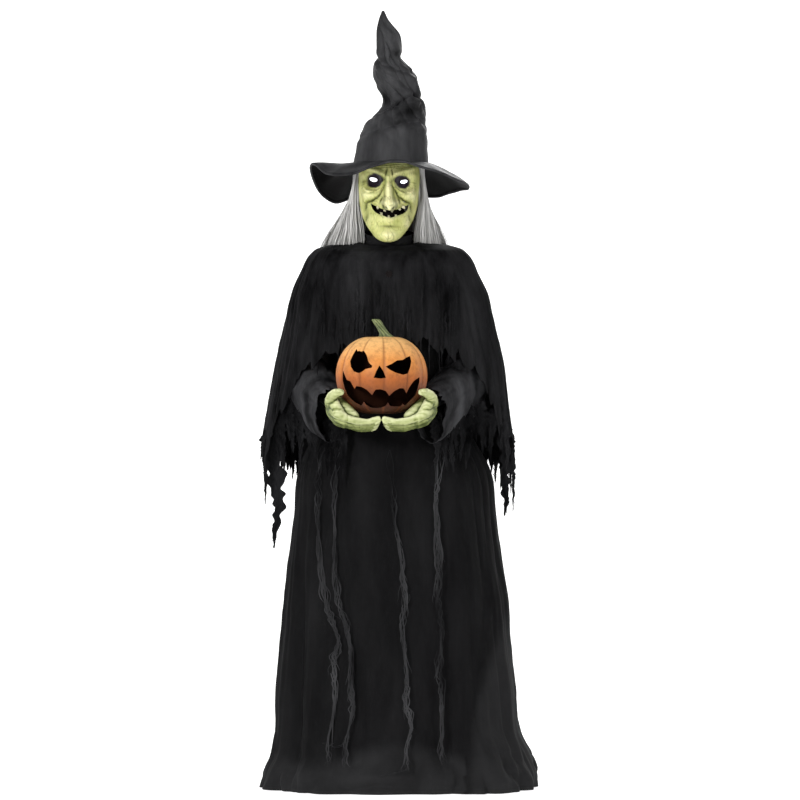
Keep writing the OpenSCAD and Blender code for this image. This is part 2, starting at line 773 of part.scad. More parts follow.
// =================================================================
// Control box on the back of the pole
// =================================================================

box_back_y = box_front_y + box_depth;
divider_z = 676;
cover_y = box_back_y + 0.1;

module control_box() {
    wall = 2;
    color("black") difference() {
        union() {
            difference() {
                translate([axis_x - box_hw, box_front_y, box_z[0]])
                    cube([2 * box_hw, box_depth, box_z[1] - box_z[0]]);
                translate([axis_x - box_hw + wall, box_front_y + wall, box_z[0] + wall])
                    cube([2 * (box_hw - wall), box_depth, divider_z - box_z[0] - wall - 1]);
                translate([axis_x - box_hw + wall, box_front_y + wall, divider_z + 1])
                    cube([2 * (box_hw - wall), box_depth, box_z[1] - divider_z - wall - 1]);
            }
            // clamp block that grips the pole
            translate([axis_x - 20, box_front_y - 12, 640]) cube([40, 12.1, 50]);
            // knuckles for the door's pin
            for (s = [-1, 1])
                translate([axis_x + s * 34 - 3, box_back_y - 1, box_z[0]]) cube([6, 8, 6]);
        }
        rod(on_axis(600), on_axis(730), pole_r + 0.15);
        for (y = socket_ys)
            rod([socket_x, y, box_z[0] - 1], [socket_x, y, box_z[0] + 3], 5.1);
        rod([axis_x - 40, box_back_y + 4, box_z[0] + 3], [axis_x + 40, box_back_y + 4, box_z[0] + 3], door_pin_r + 0.05);
        rod([axis_x + 20, axis_y + 24, 725], [axis_x + 20, axis_y + 24, 735], 2.7);
    }
}

module control_cover() {
    color("black") difference() {
        translate([axis_x - box_hw, cover_y, door_z[1] + 1]) cube([2 * box_hw, 2.4, box_z[1] - door_z[1] - 1]);
        translate([axis_x - 27, cover_y - 1, 698]) cube([18, 6, 9]);
        rod([axis_x + 18, cover_y - 1, 702], [axis_x + 18, cover_y + 6, 702], 6.1);
    }
}

// Six AA cells that lie across the box, three rows of two
module batteries() {
    cell_r = 7.2;
    color("darkorange") for (row = [0, 1, 2]) for (deep = [0, 1]) {
        y = box_front_y + 2.4 + cell_r + deep * 15.6;
        z = box_z[0] + 2.4 + cell_r + row * 16;
        rod([axis_x - 25.2, y, z], [axis_x + 23.8, y, z], cell_r);
        rod([axis_x + 23, y, z], [axis_x + 25.3, y, z], 2.7);
    }
}

// Power inlet above, step-pad socket below. Each opens to +X.
module sockets() {
    z = box_z[0] - 1.5;
    color("dimgray") for (j = [[socket_ys[0], 2.8, 9], [socket_ys[1], 1.8, 12]]) difference() {
        rod([socket_x, j[0], z], [socket_x, j[0], z + 16], 5);
        rod([socket_x, j[0], z - 1], [socket_x, j[0], z + j[2]], j[1]);
    }
}

module chest_lead() {
    color("black") rod([axis_x + 20, axis_y + 24, 729], [axis_x + 20, axis_y + 24, chest_z[0] + 2], 2.5);
}

module battery_door() {
    y = cover_y;
    pin = [axis_x, box_back_y + 4, box_z[0] + 3];
    color("black") {
        difference() {
            union() {
                translate([axis_x - box_hw, y, door_z[0] + 1]) cube([2 * box_hw, 2.4, door_z[1] - door_z[0] - 1]);
                translate([axis_x - 29, y, pin[2]]) cube([58, 2.4, 6]);
                rod(pin - [29, 0, 0], pin + [29, 0, 0], 3);
            }
            rod(pin - [30, 0, 0], pin + [30, 0, 0], door_pin_r);
        }
    }
    color("silver") rod(pin - [36.8, 0, 0], pin + [36.8, 0, 0], door_pin_r);
}

module mode_knob() {
    color("red") {
        translate([axis_x - 26, cover_y - 3, 699.5]) cube([8, 8, 6]);
        translate([axis_x - 24, cover_y - 3.5, 696.5]) cube([4, 2.5, 12]);
    }
}

module try_button() {
    color("red") {
        rod([axis_x + 18, cover_y - 5, 702], [axis_x + 18, cover_y + 6, 702], 6);
        rod([axis_x + 18, cover_y - 5, 702], [axis_x + 18, cover_y - 3, 702], 7.5);
    }
}

// =================================================================
// Cloth
// =================================================================

hem = [hem_w / 2, hem_d / 2];
robe_rings = [ // z, centre x, centre y, half width, half depth
    [0, 0, 0, hem[0], hem[1]], [45, 0, 0, hem[0] - 5, hem[1] - 8],
    [72, 2, 4, hem[0] - 15, hem[1] - 24], [120, -4, 8, 293, 255], [228, -8, 15, 287, 240],
    [330, -10, 20, 277, 225], [440, -11, 25, 270, 214], [540, -12, 30, 259, 202],
    [640, -12, 36, 247, 190], [760, -14, 42, 236, 168], [795, -18, 44, 190, 150],
    [830, -24, 46, 140, 118], [900, -26, 50, 128, 102], [1000, -26, 50, 128, 104],
    [1095, -26, 50, 134, 106], [1125, -26, 50, 146, 108], [1150, -26, 50, 168, 106],
    [1175, -26, 50, 190, 104], [1200, -26, 50, 202, 102], [1222, -26, 50, 194, 98],
    [1241, -26, 50, 184, 92], [1253, -26, 53, 168, 80], [1263, -26, 56, 130, 69],
    [1269, -26, 54, 88, 62], [1273, -26, 51, 60, 54], [1279, -26, 50, 56, 50],
    [1312, -26, 50, 56, 50]
];

module robe() {
    sensor_z = shoulder_z + 3;
    color([0.08, 0.08, 0.09]) as_mesh() difference() {
        cloth_shell(robe_rings, cloth_t, 32);
        for (s = [-1, 1])
            rod(toward(shoulder_at(s), elbow_at(s), 20), toward(shoulder_at(s), elbow_at(s), 90), 13);
        rod([axis_x, axis_y - 60, sensor_z], [axis_x, axis_y - 130, sensor_z], 8.5);
    }
}

// Bent sleeve round the arm, open at the top and at the cuff
sleeve_top = 1114;
module sleeve_body(s, t) {
    e = elbow_at(s);
    up = toward(e, shoulder_at(s), (sleeve_top - elbow_z) / (shoulder_z - elbow_z) * norm(shoulder_at(s) - e));
    cuff = toward(e, wrist_at(s), 165);
    hull() {
        translate(up) sphere(r = 36 - t, $fn = 22);
        translate(e) sphere(r = 42 - t, $fn = 22);
    }
    hull() {
        translate(e) sphere(r = 42 - t, $fn = 22);
        translate(cuff) sphere(r = 40 - t, $fn = 22);
        translate(cuff + [s * 22, 30, -38]) sphere(r = 34 - t, $fn = 22);
    }
}
module sleeve(s) {
    e = elbow_at(s);
    cuff = toward(e, wrist_at(s), 165);
    color([0.08, 0.08, 0.09]) as_mesh() difference() {
        sleeve_body(s, 0);
        sleeve_body(s, cloth_t);
        translate([e[0] - 100, -100, sleeve_top]) cube([200, 300, 100]);
        rod(cuff, toward(cuff, cuff + (wrist_at(s) - e), 100), 120);
    }
}
module sleeve_left() sleeve(-1);
module sleeve_right() sleeve(1);

cape_rings = [
    [800, -22, 54, 290, 150], [880, -22, 52, 282, 148], [1011, -22, 50, 266, 142],
    [1082, -24, 50, 250, 134], [1168, -25, 50, 233, 124], [1216, -26, 50, 212, 115],
    [1230, -26, 51, 200, 108], [1249, -26, 56, 186, 97], [1262, -26, 61, 168, 85],
    [1270, -26, 63, 140, 79], [1275, -26, 62, 100, 73], [1277.2, -26, 60, 74, 66]
];

module cape() {
    color([0.12, 0.12, 0.13]) as_mesh() difference() {
        cloth_shell(cape_rings, cloth_t, 36);
        // the arms and the pumpkin come out here
        translate([-400, -300, 700]) cube([800, 290, 370]);
        rod([axis_x, axis_y - 60, shoulder_z + 3], [axis_x, axis_y - 140, shoulder_z + 3], 8.5);
    }
}

// Front of the robe at a place, from the rings
function robe_col(z, k) = lookup(z, [for (r = robe_rings) [r[0], r[k]]]);
function robe_front(x, z) =
    let (u = min(0.999, abs(x - robe_col(z, 1)) / robe_col(z, 3)))
    robe_col(z, 2) - robe_col(z, 4) * pow(1 - pow(u, oval), 1 / oval);

// Thin strip through points, w wide along X and t thick along Y
module strip(points, w, t) {
    n = len(points);
    loft([for (i = [0:n - 1]) let (p = points[i], h = w(i / (n - 1)) / 2)
        [p + [h, t / 2, 0], p + [-h, t / 2, 0], p + [-h, -t / 2, 0], p + [h, -t / 2, 0]]]);
}

// Torn strips: four down the front of the robe, one under each side of the cape
module cape_strips() {
    front = [[-148, 60, 700], [-112, 60, 680], [14, 45, 640], [92, 60, 720]]; // x, low z, high z
    color([0.12, 0.12, 0.13]) {
        for (f = front)
            strip([for (i = [0:14]) let (z = f[1] + (f[2] - f[1]) * i / 14, x = f[0] + 6 * sin(i * 75))
                [x, robe_front(x, z) - 7, z]], function (u) 6 + 12 * u, 2);
        strip([for (i = [0:8]) let (z = 562 + 236 * i / 8) [-292 - 12 * sin(i * 22), 54, z]],
              function (u) 10 + 22 * u, 2);
        strip([for (i = [0:6]) let (z = 632 + 166 * i / 6) [249 + 9 * sin(i * 22), 54, z]],
              function (u) 8 + 18 * u, 2);
    }
}

// =================================================================
// Hands and pumpkin
// =================================================================

// Chain of rounded segments through points, each [x, y, z, r]
module finger(points) {
    for (i = [0:len(points) - 2]) hull() for (p = [points[i], points[i + 1]])
        translate([p[0], p[1], p[2]]) sphere(r = p[3], $fn = 12);
}

// Right hand of the view: x runs from the pumpkin's centre out to the wrist
module hand_shape() {
    hull() {
        translate([wrist_x, wrist_y - 14, wrist_z]) sphere(r = 20, $fn = 18);
        translate([122, -176, 884]) sphere(r = 18, $fn = 18);
        translate([84, -232, 866]) sphere(r = 11, $fn = 14);
        translate([80, -168, 862]) sphere(r = 11, $fn = 14);
    }
    for (f = [0:3]) {
        y = -234 + f * 21;
        finger([[82, y, 864, 10], [46 + 3 * f, y, 851, 9], [20 + 2 * f, y + 2, 849, 8], [9 + 3 * f, y + 4, 855, 7]]);
    }
    finger([[120, -184, 884, 16], [131, -222, 904, 13], [112, -248, 924, 10], [96, -252, 934, 8]]);
}

module hand(s) {
    x0 = pumpkin_c[0];
    color("yellowgreen") as_mesh() difference() {
        translate([x0, 0, 0]) scale([s, 1, 1]) hand_shape();
        rod(toward(wrist_at(s), elbow_at(s), 60), toward(wrist_at(s), elbow_at(s), -3), arm_r + 0.2);
        // the palms stay clear of the pumpkin
        translate([0, 0, -1]) loft(pumpkin_layers(-1, 0.5));
    }
}
module hand_left() hand(-1);
module hand_right() hand(1);

// Pumpkin layers: ten lobes, a dimple at the top and one at the bottom
lobes = 10;
function pumpkin_layer(lat, t, lobe) =
    let (r = pumpkin_d / 2 - t, h = pumpkin_h / 2 - t, c = pow(cos(lat), 0.82))
    [for (i = [0:39]) let (
        a = i * 9,
        k = 1 - lobe * 0.035 * (1 - abs(cos(lobes / 2 * a))) * (0.4 + 0.6 * cos(lat)),
        rho = r * c * k)
        pumpkin_c + [rho * cos(a), rho * sin(a),
                     h * sin(lat) - sign(lat) * 9 * exp(-pow(rho / 26, 2))]];
function pumpkin_layers(t, lobe) = [for (lat = [-88:11:88]) pumpkin_layer(lat, t, lobe)];

eye_round = [[-60, 63], [-52, 56], [-42, 56], [-33, 45], [-29, 28], [-21, 21], [-28, 13], [-42, 12],
             [-54, 5], [-66, 8], [-73, 18], [-76, 32], [-72, 47]];
eye_sly = [[10, 20], [25, 28], [45, 36], [51, 35], [69, 45], [71, 32], [69, 18], [63, 2], [48, 2],
           [32, 7], [17, 14]];
nose_cut = [[-4, 22], [11, -6], [-18, -6]];
mouth_cut = [
    [-89, 12], [-84, 0], [-73, -10], [-64, -25], [-58, -19], [-49, -20], [-37, -25], [-22, -38],
    [-14, -25], [-2, -25], [8, -28], [17, -40], [26, -31], [39, -28], [48, -24], [55, -35],
    [63, -23], [72, -13], [88, 0], [86, -20], [82, -42], [72, -54], [60, -63], [50, -61],
    [39, -68], [25, -69], [15, -62], [8, -70], [-9, -71], [-25, -71], [-33, -68], [-39, -59],
    [-47, -68], [-61, -63], [-73, -54], [-83, -37], [-89, -20], [-92, -4]
];

module pumpkin_shell() {
    color("orange") as_mesh() difference() {
        loft(pumpkin_layers(0, 1));
        loft(pumpkin_layers(pumpkin_t, 0.5));
        translate(pumpkin_c - [0, 20, 0]) rotate([90, 0, 0]) linear_extrude(120) {
            polygon(eye_round);
            polygon(eye_sly);
            polygon(nose_cut);
            polygon(mouth_cut);
        }
    }
}

module pumpkin_stem() {
    z0 = pumpkin_c[2] + pumpkin_h / 2 - 9;
    path = [[0, 0, 19], [1, 6, 16], [0, 16, 12], [-5, 27, 10.5], [-10, 38, 10], [-12, 44, 9.5]];
    color("olivedrab") loft([for (p = path) [for (i = [0:19])
        let (a = i * 18, r = p[2] * (1 + 0.12 * cos(5 * a)))
        [pumpkin_c[0] + 8 + p[0] + r * cos(a), pumpkin_c[1] + r * sin(a), z0 + 4.6 + p[1]]]]);
}

module pumpkin_lamp() {
    z = pumpkin_c[2] - pumpkin_h / 2 + 9 + pumpkin_t + 0.5;
    color("white") translate([pumpkin_c[0], pumpkin_c[1], z]) {
        cylinder(r = 15, h = 7);
        translate([0, 0, 6.9]) cylinder(r = 7, h = 10);
        translate([0, 0, 16.8]) sphere(r = 7);
    }
}

// =================================================================
// One line per node
// =================================================================

base_bars();
base_spine();
foot_pads();
base_bolts();
lower_pole();
middle_pole();
upper_pole();
skirt_hoop();
shoulder_tee();
shoulder_tube();
shoulder_pads();
upper_arm_left();
upper_arm_right();
forearm_left();
forearm_right();
arm_joints();
chest_front();
chest_rear();
chest_screws();
speaker();
sound_board();
motion_sensor();
gearbox_base();
gearbox_cover();
neck_motor();
control_box();
control_cover();
batteries();
sockets();
chest_lead();
robe();
sleeve_left();
sleeve_right();
cape();
cape_strips();
hand_left();
hand_right();
pumpkin_shell();
pumpkin_stem();
pumpkin_lamp();
snap_button_lower();
snap_button_upper();
battery_door();
mode_knob();
try_button();
motor_pinion();
neck_shaft();
neck_gear();
head_chassis();
skull_front();
skull_rear();
mask_face();
eye_lenses();
wig();
hat_crown();
hat_brim();
jaw_motor();
jaw_pinion();
jaw_frame();
mask_chin();
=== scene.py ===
"""Looks of the animated witch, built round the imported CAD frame. All lengths are in metres."""

import json
import math
import random

import bmesh
import bpy
import numpy as np
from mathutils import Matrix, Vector, noise


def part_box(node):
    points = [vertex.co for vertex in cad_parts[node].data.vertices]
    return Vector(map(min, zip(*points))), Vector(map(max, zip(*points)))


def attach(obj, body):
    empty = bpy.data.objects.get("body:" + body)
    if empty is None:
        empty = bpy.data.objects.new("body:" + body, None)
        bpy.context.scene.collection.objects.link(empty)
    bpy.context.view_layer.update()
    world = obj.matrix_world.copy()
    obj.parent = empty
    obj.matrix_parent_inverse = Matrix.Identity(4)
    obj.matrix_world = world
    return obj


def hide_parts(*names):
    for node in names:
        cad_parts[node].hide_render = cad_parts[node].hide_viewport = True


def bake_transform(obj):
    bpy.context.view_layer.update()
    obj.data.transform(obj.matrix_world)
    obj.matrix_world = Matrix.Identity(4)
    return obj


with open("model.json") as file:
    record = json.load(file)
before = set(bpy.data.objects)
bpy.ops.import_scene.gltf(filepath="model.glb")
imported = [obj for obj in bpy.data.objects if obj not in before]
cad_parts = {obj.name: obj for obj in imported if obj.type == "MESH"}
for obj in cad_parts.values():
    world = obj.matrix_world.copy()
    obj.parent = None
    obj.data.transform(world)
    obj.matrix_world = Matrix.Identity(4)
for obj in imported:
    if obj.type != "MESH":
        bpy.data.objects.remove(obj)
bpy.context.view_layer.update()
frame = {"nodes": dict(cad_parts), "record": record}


def middle(node):
    """Centre of a CAD node's box."""
    a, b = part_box(node)
    return (a + b) / 2


NECK = middle("neck_shaft")
BRIM_Z, HAT_TOP = (corner.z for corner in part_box("hat_crown"))
COLLAR_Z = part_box("robe")[1].z
PUMPKIN = middle("pumpkin_shell")
PUMPKIN_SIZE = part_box("pumpkin_shell")[1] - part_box("pumpkin_shell")[0]
CLOTH, CROWN_FELT, BRIM_FELT = 0.0012, 0.0018, 0.0024  # thicknesses


# ------------------------------------------------------------------ camera, light and floor


def make_camera():
    distance, view_width, eye_level = 11.0, 1.888, 0.907
    data = bpy.data.cameras.new("camera")
    data.lens = data.sensor_width * distance / view_width
    data.clip_end = 60
    cam = bpy.data.objects.new("camera", data)
    cam.location = (0, -distance, eye_level)
    cam.rotation_euler = (math.radians(90), 0, 0)
    bpy.context.scene.collection.objects.link(cam)
    bpy.context.scene.camera = cam


def area_light(name, place, aim, size, power):
    data = bpy.data.lights.new(name, "AREA")
    data.size = size
    data.energy = power
    light = bpy.data.objects.new(name, data)
    light.location = place
    light.rotation_mode = "QUATERNION"
    light.rotation_quaternion = (Vector(aim) - Vector(place)).to_track_quat("-Z", "Y")
    bpy.context.scene.collection.objects.link(light)


def make_studio():
    world = bpy.data.worlds.new("studio")
    world.use_nodes = True
    set_inputs(world.node_tree.nodes["Background"], Color=(1, 1, 1, 1), Strength=0.45)
    bpy.context.scene.world = world
    bpy.context.scene.view_settings.view_transform = "Standard"
    area_light("key", (-2.6, -4.2, 2.3), (0, 0, 1.1), 1.0, 190)
    area_light("fill", (3.4, -3.6, 1.2), (0, 0, 0.9), 2.4, 36)
    area_light("rim", (0.8, 3.0, 2.8), (0, 0, 1.2), 1.6, 60)

    # round pale floor that curves up into a pale wall, dimmer in front of the figure
    floor_radius, bend_radius, wall_top = 11.5, 2.0, 9
    greys = [(0.3, (0.8, 0.8, 0.8)), (0.7, (0.84, 0.84, 0.84))]
    mat = painted_material("backdrop", (3,), greys, Roughness=0.7, Emission_Strength=0.66)
    glow = blended(mat, attribute(mat, "behind"), (0.3, 0.3, 0.3), (1, 1, 1))
    shader = mat.node_tree.nodes["Principled BSDF"]
    mat.node_tree.links.new(glow, shader.inputs["Emission Color"])
    bend = np.linspace(0, math.pi / 2, 12)
    line = [(r, 0) for r in (0.01, 1, 2, 3, 5, 8, 11)]
    line += [(floor_radius + bend_radius * math.sin(b), bend_radius * (1 - math.cos(b))) for b in bend]
    line.append((floor_radius + bend_radius, wall_top))
    r, z = np.array(line).T[:, :, None]
    p = around(full_turn(96), r, z - 0.001)
    backdrop = grid_object("backdrop", p, mat, closed=True)
    paint(backdrop, "behind", ramp(p[..., 1].ravel(), -9.0, -1.0))


# ------------------------------------------------------------------ numbers


def through(table, at):
    """Smooth values at these places through rows of [place, value, ...]."""
    rows = np.array(table, float)
    rows = rows[np.argsort(rows[:, 0])]
    keys, values = rows[:, 0], rows[:, 1:]
    at = np.asarray(at, float)
    flat = np.clip(at.ravel(), keys[0], keys[-1])
    slopes = np.gradient(values, keys, axis=0)
    i = np.clip(np.searchsorted(keys, flat, side="right") - 1, 0, len(keys) - 2)
    span = (keys[i + 1] - keys[i])[:, None]
    t = ((flat - keys[i]) / span[:, 0])[:, None]
    a = values[i] * (2 * t**3 - 3 * t**2 + 1) + values[i + 1] * (3 * t**2 - 2 * t**3)
    b = slopes[i] * span * (t**3 - 2 * t**2 + t) + slopes[i + 1] * span * (t**3 - t**2)
    return [c.reshape(at.shape) for c in (a + b).T]


def straight(table, at):
    """Values on straight lines between rows of [place, value]."""
    rows = np.array(sorted(table), float)
    return np.interp(at, rows[:, 0], rows[:, 1])


def lumps(points, scale, seed=0.0):
    """Smooth noise from -1 to 1 at each point."""
    points = np.asarray(points, float)
    flat = points.reshape(-1, 3) * scale + seed
    found = np.array([noise.noise(Vector(p)) for p in flat])
    return found.reshape(points.shape[:-1])


def creases(points, scale, seed=0.0):
    """Sharp valleys between rounded folds, from 0 in a valley to 1."""
    return np.clip(np.abs(lumps(points, scale, seed)) * 2.2, 0, 1)


def bump(x, z, cx, cz, rx, rz, turn=0.0):
    """Smooth round hill of height 1."""
    c, s = math.cos(turn), math.sin(turn)
    u = ((x - cx) * c + (z - cz) * s) / rx
    v = (-(x - cx) * s + (z - cz) * c) / rz
    return np.exp(-(u * u + v * v))


def hills(table, x, z, side=1, centre=0.0):
    """Sum of round hills. side -1 mirrors them to the other side of the centre line."""
    return sum(h * bump(x, z, centre + side * cx, cz, rx, rz, side * turn) for h, cx, cz, rx, rz, turn in table)


def hill(at, centre, half):
    """Smooth hill of height 1 along one line."""
    return np.exp(-(((at - centre) / half) ** 2))


def ramp(at, start, end):
    """0 before start and 1 after end, smooth between."""
    t = np.clip((at - start) / (end - start), 0, 1)
    return t * t * (3 - 2 * t)


def full_turn(count):
    """Evenly spaced angles of a full turn."""
    return np.linspace(0, 2 * math.pi, count, endpoint=False)


def crossed(down, across):
    """Both sets of values over a grid, one down its rows and one across its columns."""
    return np.meshgrid(down, across, indexing="ij")


def around(a, radius, z):
    """Points round the Z axis at angles a, a radius and heights z."""
    return np.stack(np.broadcast_arrays(np.cos(a) * radius, np.sin(a) * radius, z), -1)


# ------------------------------------------------------------------ meshes


def grid_faces(rows, columns, closed=False):
    """Quads over a grid of points given row by row."""
    ahead = [(c, (c + 1) % columns) for c in range(columns if closed else columns - 1)]
    starts = range(0, (rows - 1) * columns, columns)
    return [[r + c, r + d, r + columns + d, r + columns + c] for r in starts for c, d in ahead]


def mesh_object(name, points, faces, material=None):
    """Smooth-shaded object from points and faces."""
    mesh = bpy.data.meshes.new(name)
    mesh.from_pydata(np.asarray(points, float).reshape(-1, 3).tolist(), [], faces)
    mesh.validate()
    mesh.shade_smooth()
    obj = bpy.data.objects.new(name, mesh)
    bpy.context.scene.collection.objects.link(obj)
    if material:
        mesh.materials.append(material)
    return obj


def grid_object(name, points, material=None, closed=False):
    rows, columns = points.shape[:2]
    return mesh_object(name, points, grid_faces(rows, columns, closed), material)


def outward(obj):
    """Makes the faces point out of the piece."""
    bm = bmesh.new()
    bm.from_mesh(obj.data)
    bmesh.ops.recalc_face_normals(bm, faces=bm.faces)
    bm.to_mesh(obj.data)
    bm.free()
    return obj


def paint(obj, name, values):
    """Stores one number per point for a material to read."""
    layer = obj.data.attributes.new(name, "FLOAT", "POINT")
    layer.data.foreach_set("value", np.asarray(values, np.float32).ravel())


def read(obj, what):
    """Array of one vector per point of a mesh."""
    return np.array([getattr(v, what) for v in obj.data.vertices])


def apply_modifiers(obj):
    dg = bpy.context.evaluated_depsgraph_get()
    dg.update()
    mesh = bpy.data.meshes.new_from_object(obj.evaluated_get(dg))
    obj.modifiers.clear()
    obj.data = mesh
    return obj


def thicken(obj, thickness, offset=-1.0):
    """Gives a sheet its thickness."""
    m = obj.modifiers.new("thickness", "SOLIDIFY")
    m.thickness = thickness
    m.offset = offset
    return apply_modifiers(obj)


def set_sharp(obj, degrees):
    """Keeps edges sharper than this angle crisp under smooth shading."""
    bm = bmesh.new()
    bm.from_mesh(obj.data)
    for e in bm.edges:
        if len(e.link_faces) == 2 and e.calc_face_angle(0) > math.radians(degrees):
            e.smooth = False
    bm.to_mesh(obj.data)
    bm.free()


def cavity(obj, rounds):
    """How hollow the surface is at each point: above 0 in a valley, below 0 on a ridge."""
    co = read(obj, "co")
    ends = np.array([e.vertices for e in obj.data.edges])
    count = np.bincount(ends.ravel(), minlength=len(co))[:, None] + 1e-9

    def spread(values):
        """Mean of each point's neighbours."""
        total = np.zeros_like(values)
        np.add.at(total, ends[:, 0], values[ends[:, 1]])
        np.add.at(total, ends[:, 1], values[ends[:, 0]])
        return total / count

    mean = co
    for _ in range(rounds):
        mean = spread(mean)
    depth = ((mean - co) * read(obj, "normal")).sum(axis=1, keepdims=True)
    for _ in range(2):
        depth = (depth + spread(depth)) / 2
    deep = 0.0006
    return depth[:, 0] / deep


def tube_points(path, radii, sides=10, squash=1.0):
    """Grid of points round a path, one ring per path point."""
    path = np.asarray(path, float)
    radii = np.broadcast_to(radii, len(path))
    tangent = np.gradient(path, axis=0)
    tangent /= np.linalg.norm(tangent, axis=1, keepdims=True) + 1e-12
    side = np.cross(tangent, (0.13, -0.97, 0.21))
    side /= np.linalg.norm(side, axis=1, keepdims=True) + 1e-12
    up = np.cross(side, tangent)
    a = np.linspace(0, 2 * math.pi, sides, endpoint=False)
    ring = side[:, None] * np.cos(a)[None, :, None] + squash * up[:, None] * np.sin(a)[None, :, None]
    return path[:, None] + ring * radii[:, None, None]


class Bundle:
    """Collects many small grids into one mesh."""

    def __init__(self):
        self.points, self.faces, self.count = [], [], 0

    def add(self, points, closed=False, capped=False):
        rows, columns = points.shape[:2]
        at = self.count
        self.faces += [[i + at for i in f] for f in grid_faces(rows, columns, closed)]
        if capped:
            self.faces.append([at + c for c in reversed(range(columns))])
            self.faces.append([at + (rows - 1) * columns + c for c in range(columns)])
        self.points.append(points.reshape(-1, 3))
        self.count += rows * columns

    def build(self, name, material):
        return mesh_object(name, np.concatenate(self.points), self.faces, material)


# ------------------------------------------------------------------ materials


def new_material(name):
    mat = bpy.data.materials.new(name)
    mat.use_nodes = True
    return mat, mat.node_tree.nodes["Principled BSDF"], mat.node_tree.links


def set_inputs(node, **values):
    """Sets values on a node's own sockets. A name's spaces are written as _."""
    for key, value in values.items():
        node.inputs[key.replace("_", " ")].default_value = value
    return node


def node_of(mat, kind, **inputs):
    return set_inputs(mat.node_tree.nodes.new(kind), **inputs)


def coordinates(mat, stretch=(1, 1, 1)):
    place = node_of(mat, "ShaderNodeTexCoord")
    mapping = node_of(mat, "ShaderNodeMapping", Scale=stretch)
    mat.node_tree.links.new(place.outputs["Object"], mapping.inputs["Vector"])
    return mapping.outputs["Vector"]


def noise_of(mat, scale, detail=4.0, stretch=(1, 1, 1), rough=0.55):
    node = node_of(mat, "ShaderNodeTexNoise", Scale=scale, Detail=detail, Roughness=rough)
    mat.node_tree.links.new(coordinates(mat, stretch), node.inputs["Vector"])
    return node.outputs["Fac"]


def shades(mat, source, stops):
    """Colour ramp over a value. Each stop is (place, (r, g, b))."""
    node = mat.node_tree.nodes.new("ShaderNodeValToRGB")
    ramp_ = node.color_ramp
    while len(ramp_.elements) < len(stops):
        ramp_.elements.new(0.5)
    for element, (place, colour) in zip(ramp_.elements, stops):
        element.position = place
        element.color = (*colour, 1)
    mat.node_tree.links.new(source, node.inputs["Fac"])
    return node.outputs["Color"]


def blended(mat, amount, a, b):
    """Mixes colour a into colour b by a value."""
    node = mat.node_tree.nodes.new("ShaderNodeMix")
    node.data_type = "RGBA"
    mat.node_tree.links.new(amount, node.inputs["Factor"])
    for socket, colour in ((node.inputs[6], a), (node.inputs[7], b)):
        if isinstance(colour, tuple):
            socket.default_value = (*colour, 1)
        else:
            mat.node_tree.links.new(colour, socket)
    return node.outputs[2]


def attribute(mat, name):
    node = mat.node_tree.nodes.new("ShaderNodeAttribute")
    node.attribute_name = name
    return node.outputs["Fac"]


def tint(mat, amount, colour):
    """Blends the shader's colour into another one by a value."""
    socket = mat.node_tree.nodes["Principled BSDF"].inputs["Base Color"]
    mat.node_tree.links.new(blended(mat, amount, socket.links[0].from_socket, colour), socket)


def relief(mat, shader, source, distance, strength=1.0):
    """Adds a bump over what the shader already has."""
    node = node_of(mat, "ShaderNodeBump", Strength=strength, Distance=distance)
    links = mat.node_tree.links
    if shader.inputs["Normal"].is_linked:
        links.new(shader.inputs["Normal"].links[0].from_socket, node.inputs["Normal"])
    links.new(source, node.inputs["Height"])
    links.new(node.outputs["Normal"], shader.inputs["Normal"])


def painted_material(name, grain, stops, tints=(), bumps=(), **values):
    """Mottled paint, tinted by what the mesh says of each point, with fine bumps.

    grain is the noise's scale, detail, stretch and roughness. bumps lists scale, detail, distance, strength.
    """
    mat, shader, links = new_material(name)
    links.new(shades(mat, noise_of(mat, *grain), stops), shader.inputs["Base Color"])
    for key, colour in tints:
        tint(mat, attribute(mat, key), colour)
    set_inputs(shader, **values)
    for scale, detail, distance, strength in bumps:
        relief(mat, shader, noise_of(mat, scale, detail), distance, strength)
    return mat


def weave(mat, pitch):
    """Crossed threads as a bump."""
    shader = mat.node_tree.nodes["Principled BSDF"]
    for axis in "XZ":
        wave = node_of(mat, "ShaderNodeTexWave", Scale=1.0 / pitch / 6.283, Distortion=0.6, Detail=1.0)
        wave.bands_direction = axis
        mat.node_tree.links.new(coordinates(mat), wave.inputs["Vector"])
        relief(mat, shader, wave.outputs["Fac"], 0.0002, 0.5)
    relief(mat, shader, noise_of(mat, 160, 6), 0.0006, 0.5)


def cloth_material(name, dark, light, roughness=0.85, pitch=0.0016, gloss=0.04):
    """Woven cloth with long streaks of two shades."""
    streaks = (15, 6, (1, 1, 0.22), 0.6)
    stops = [(0.36, dark), (0.66, light)]
    mat = painted_material(name, streaks, stops, Roughness=roughness, Specular_IOR_Level=gloss)
    weave(mat, pitch)
    return mat


def lit_cloth(name, dark, light, lit_colour, roughness):
    """Cloth with painted light: lighter where its mesh says the light falls on it."""
    mat = cloth_material(name, dark, light, roughness)
    patchy = shades(mat, noise_of(mat, 7, 5, (1, 1, 0.6)), [(0.35, (0, 0, 0)), (0.65, (1, 1, 1))])
    lit = blended(mat, patchy, lit_colour, tuple(0.55 * c for c in lit_colour))
    tint(mat, attribute(mat, "painted_light"), lit)
    return mat


def moulded_material(name, dark, light, roughness=0.5, metallic=0.0, grain=900, coat=0.0, gloss=0.5):
    """Moulded or coated surface of two close shades."""
    return painted_material(
        name,
        (14,),
        [(0.3, dark), (0.7, light)],
        bumps=[(grain, 3, 0.0002, 0.35)],
        Roughness=roughness,
        Metallic=metallic,
        Coat_Weight=coat,
        Specular_IOR_Level=gloss,
    )


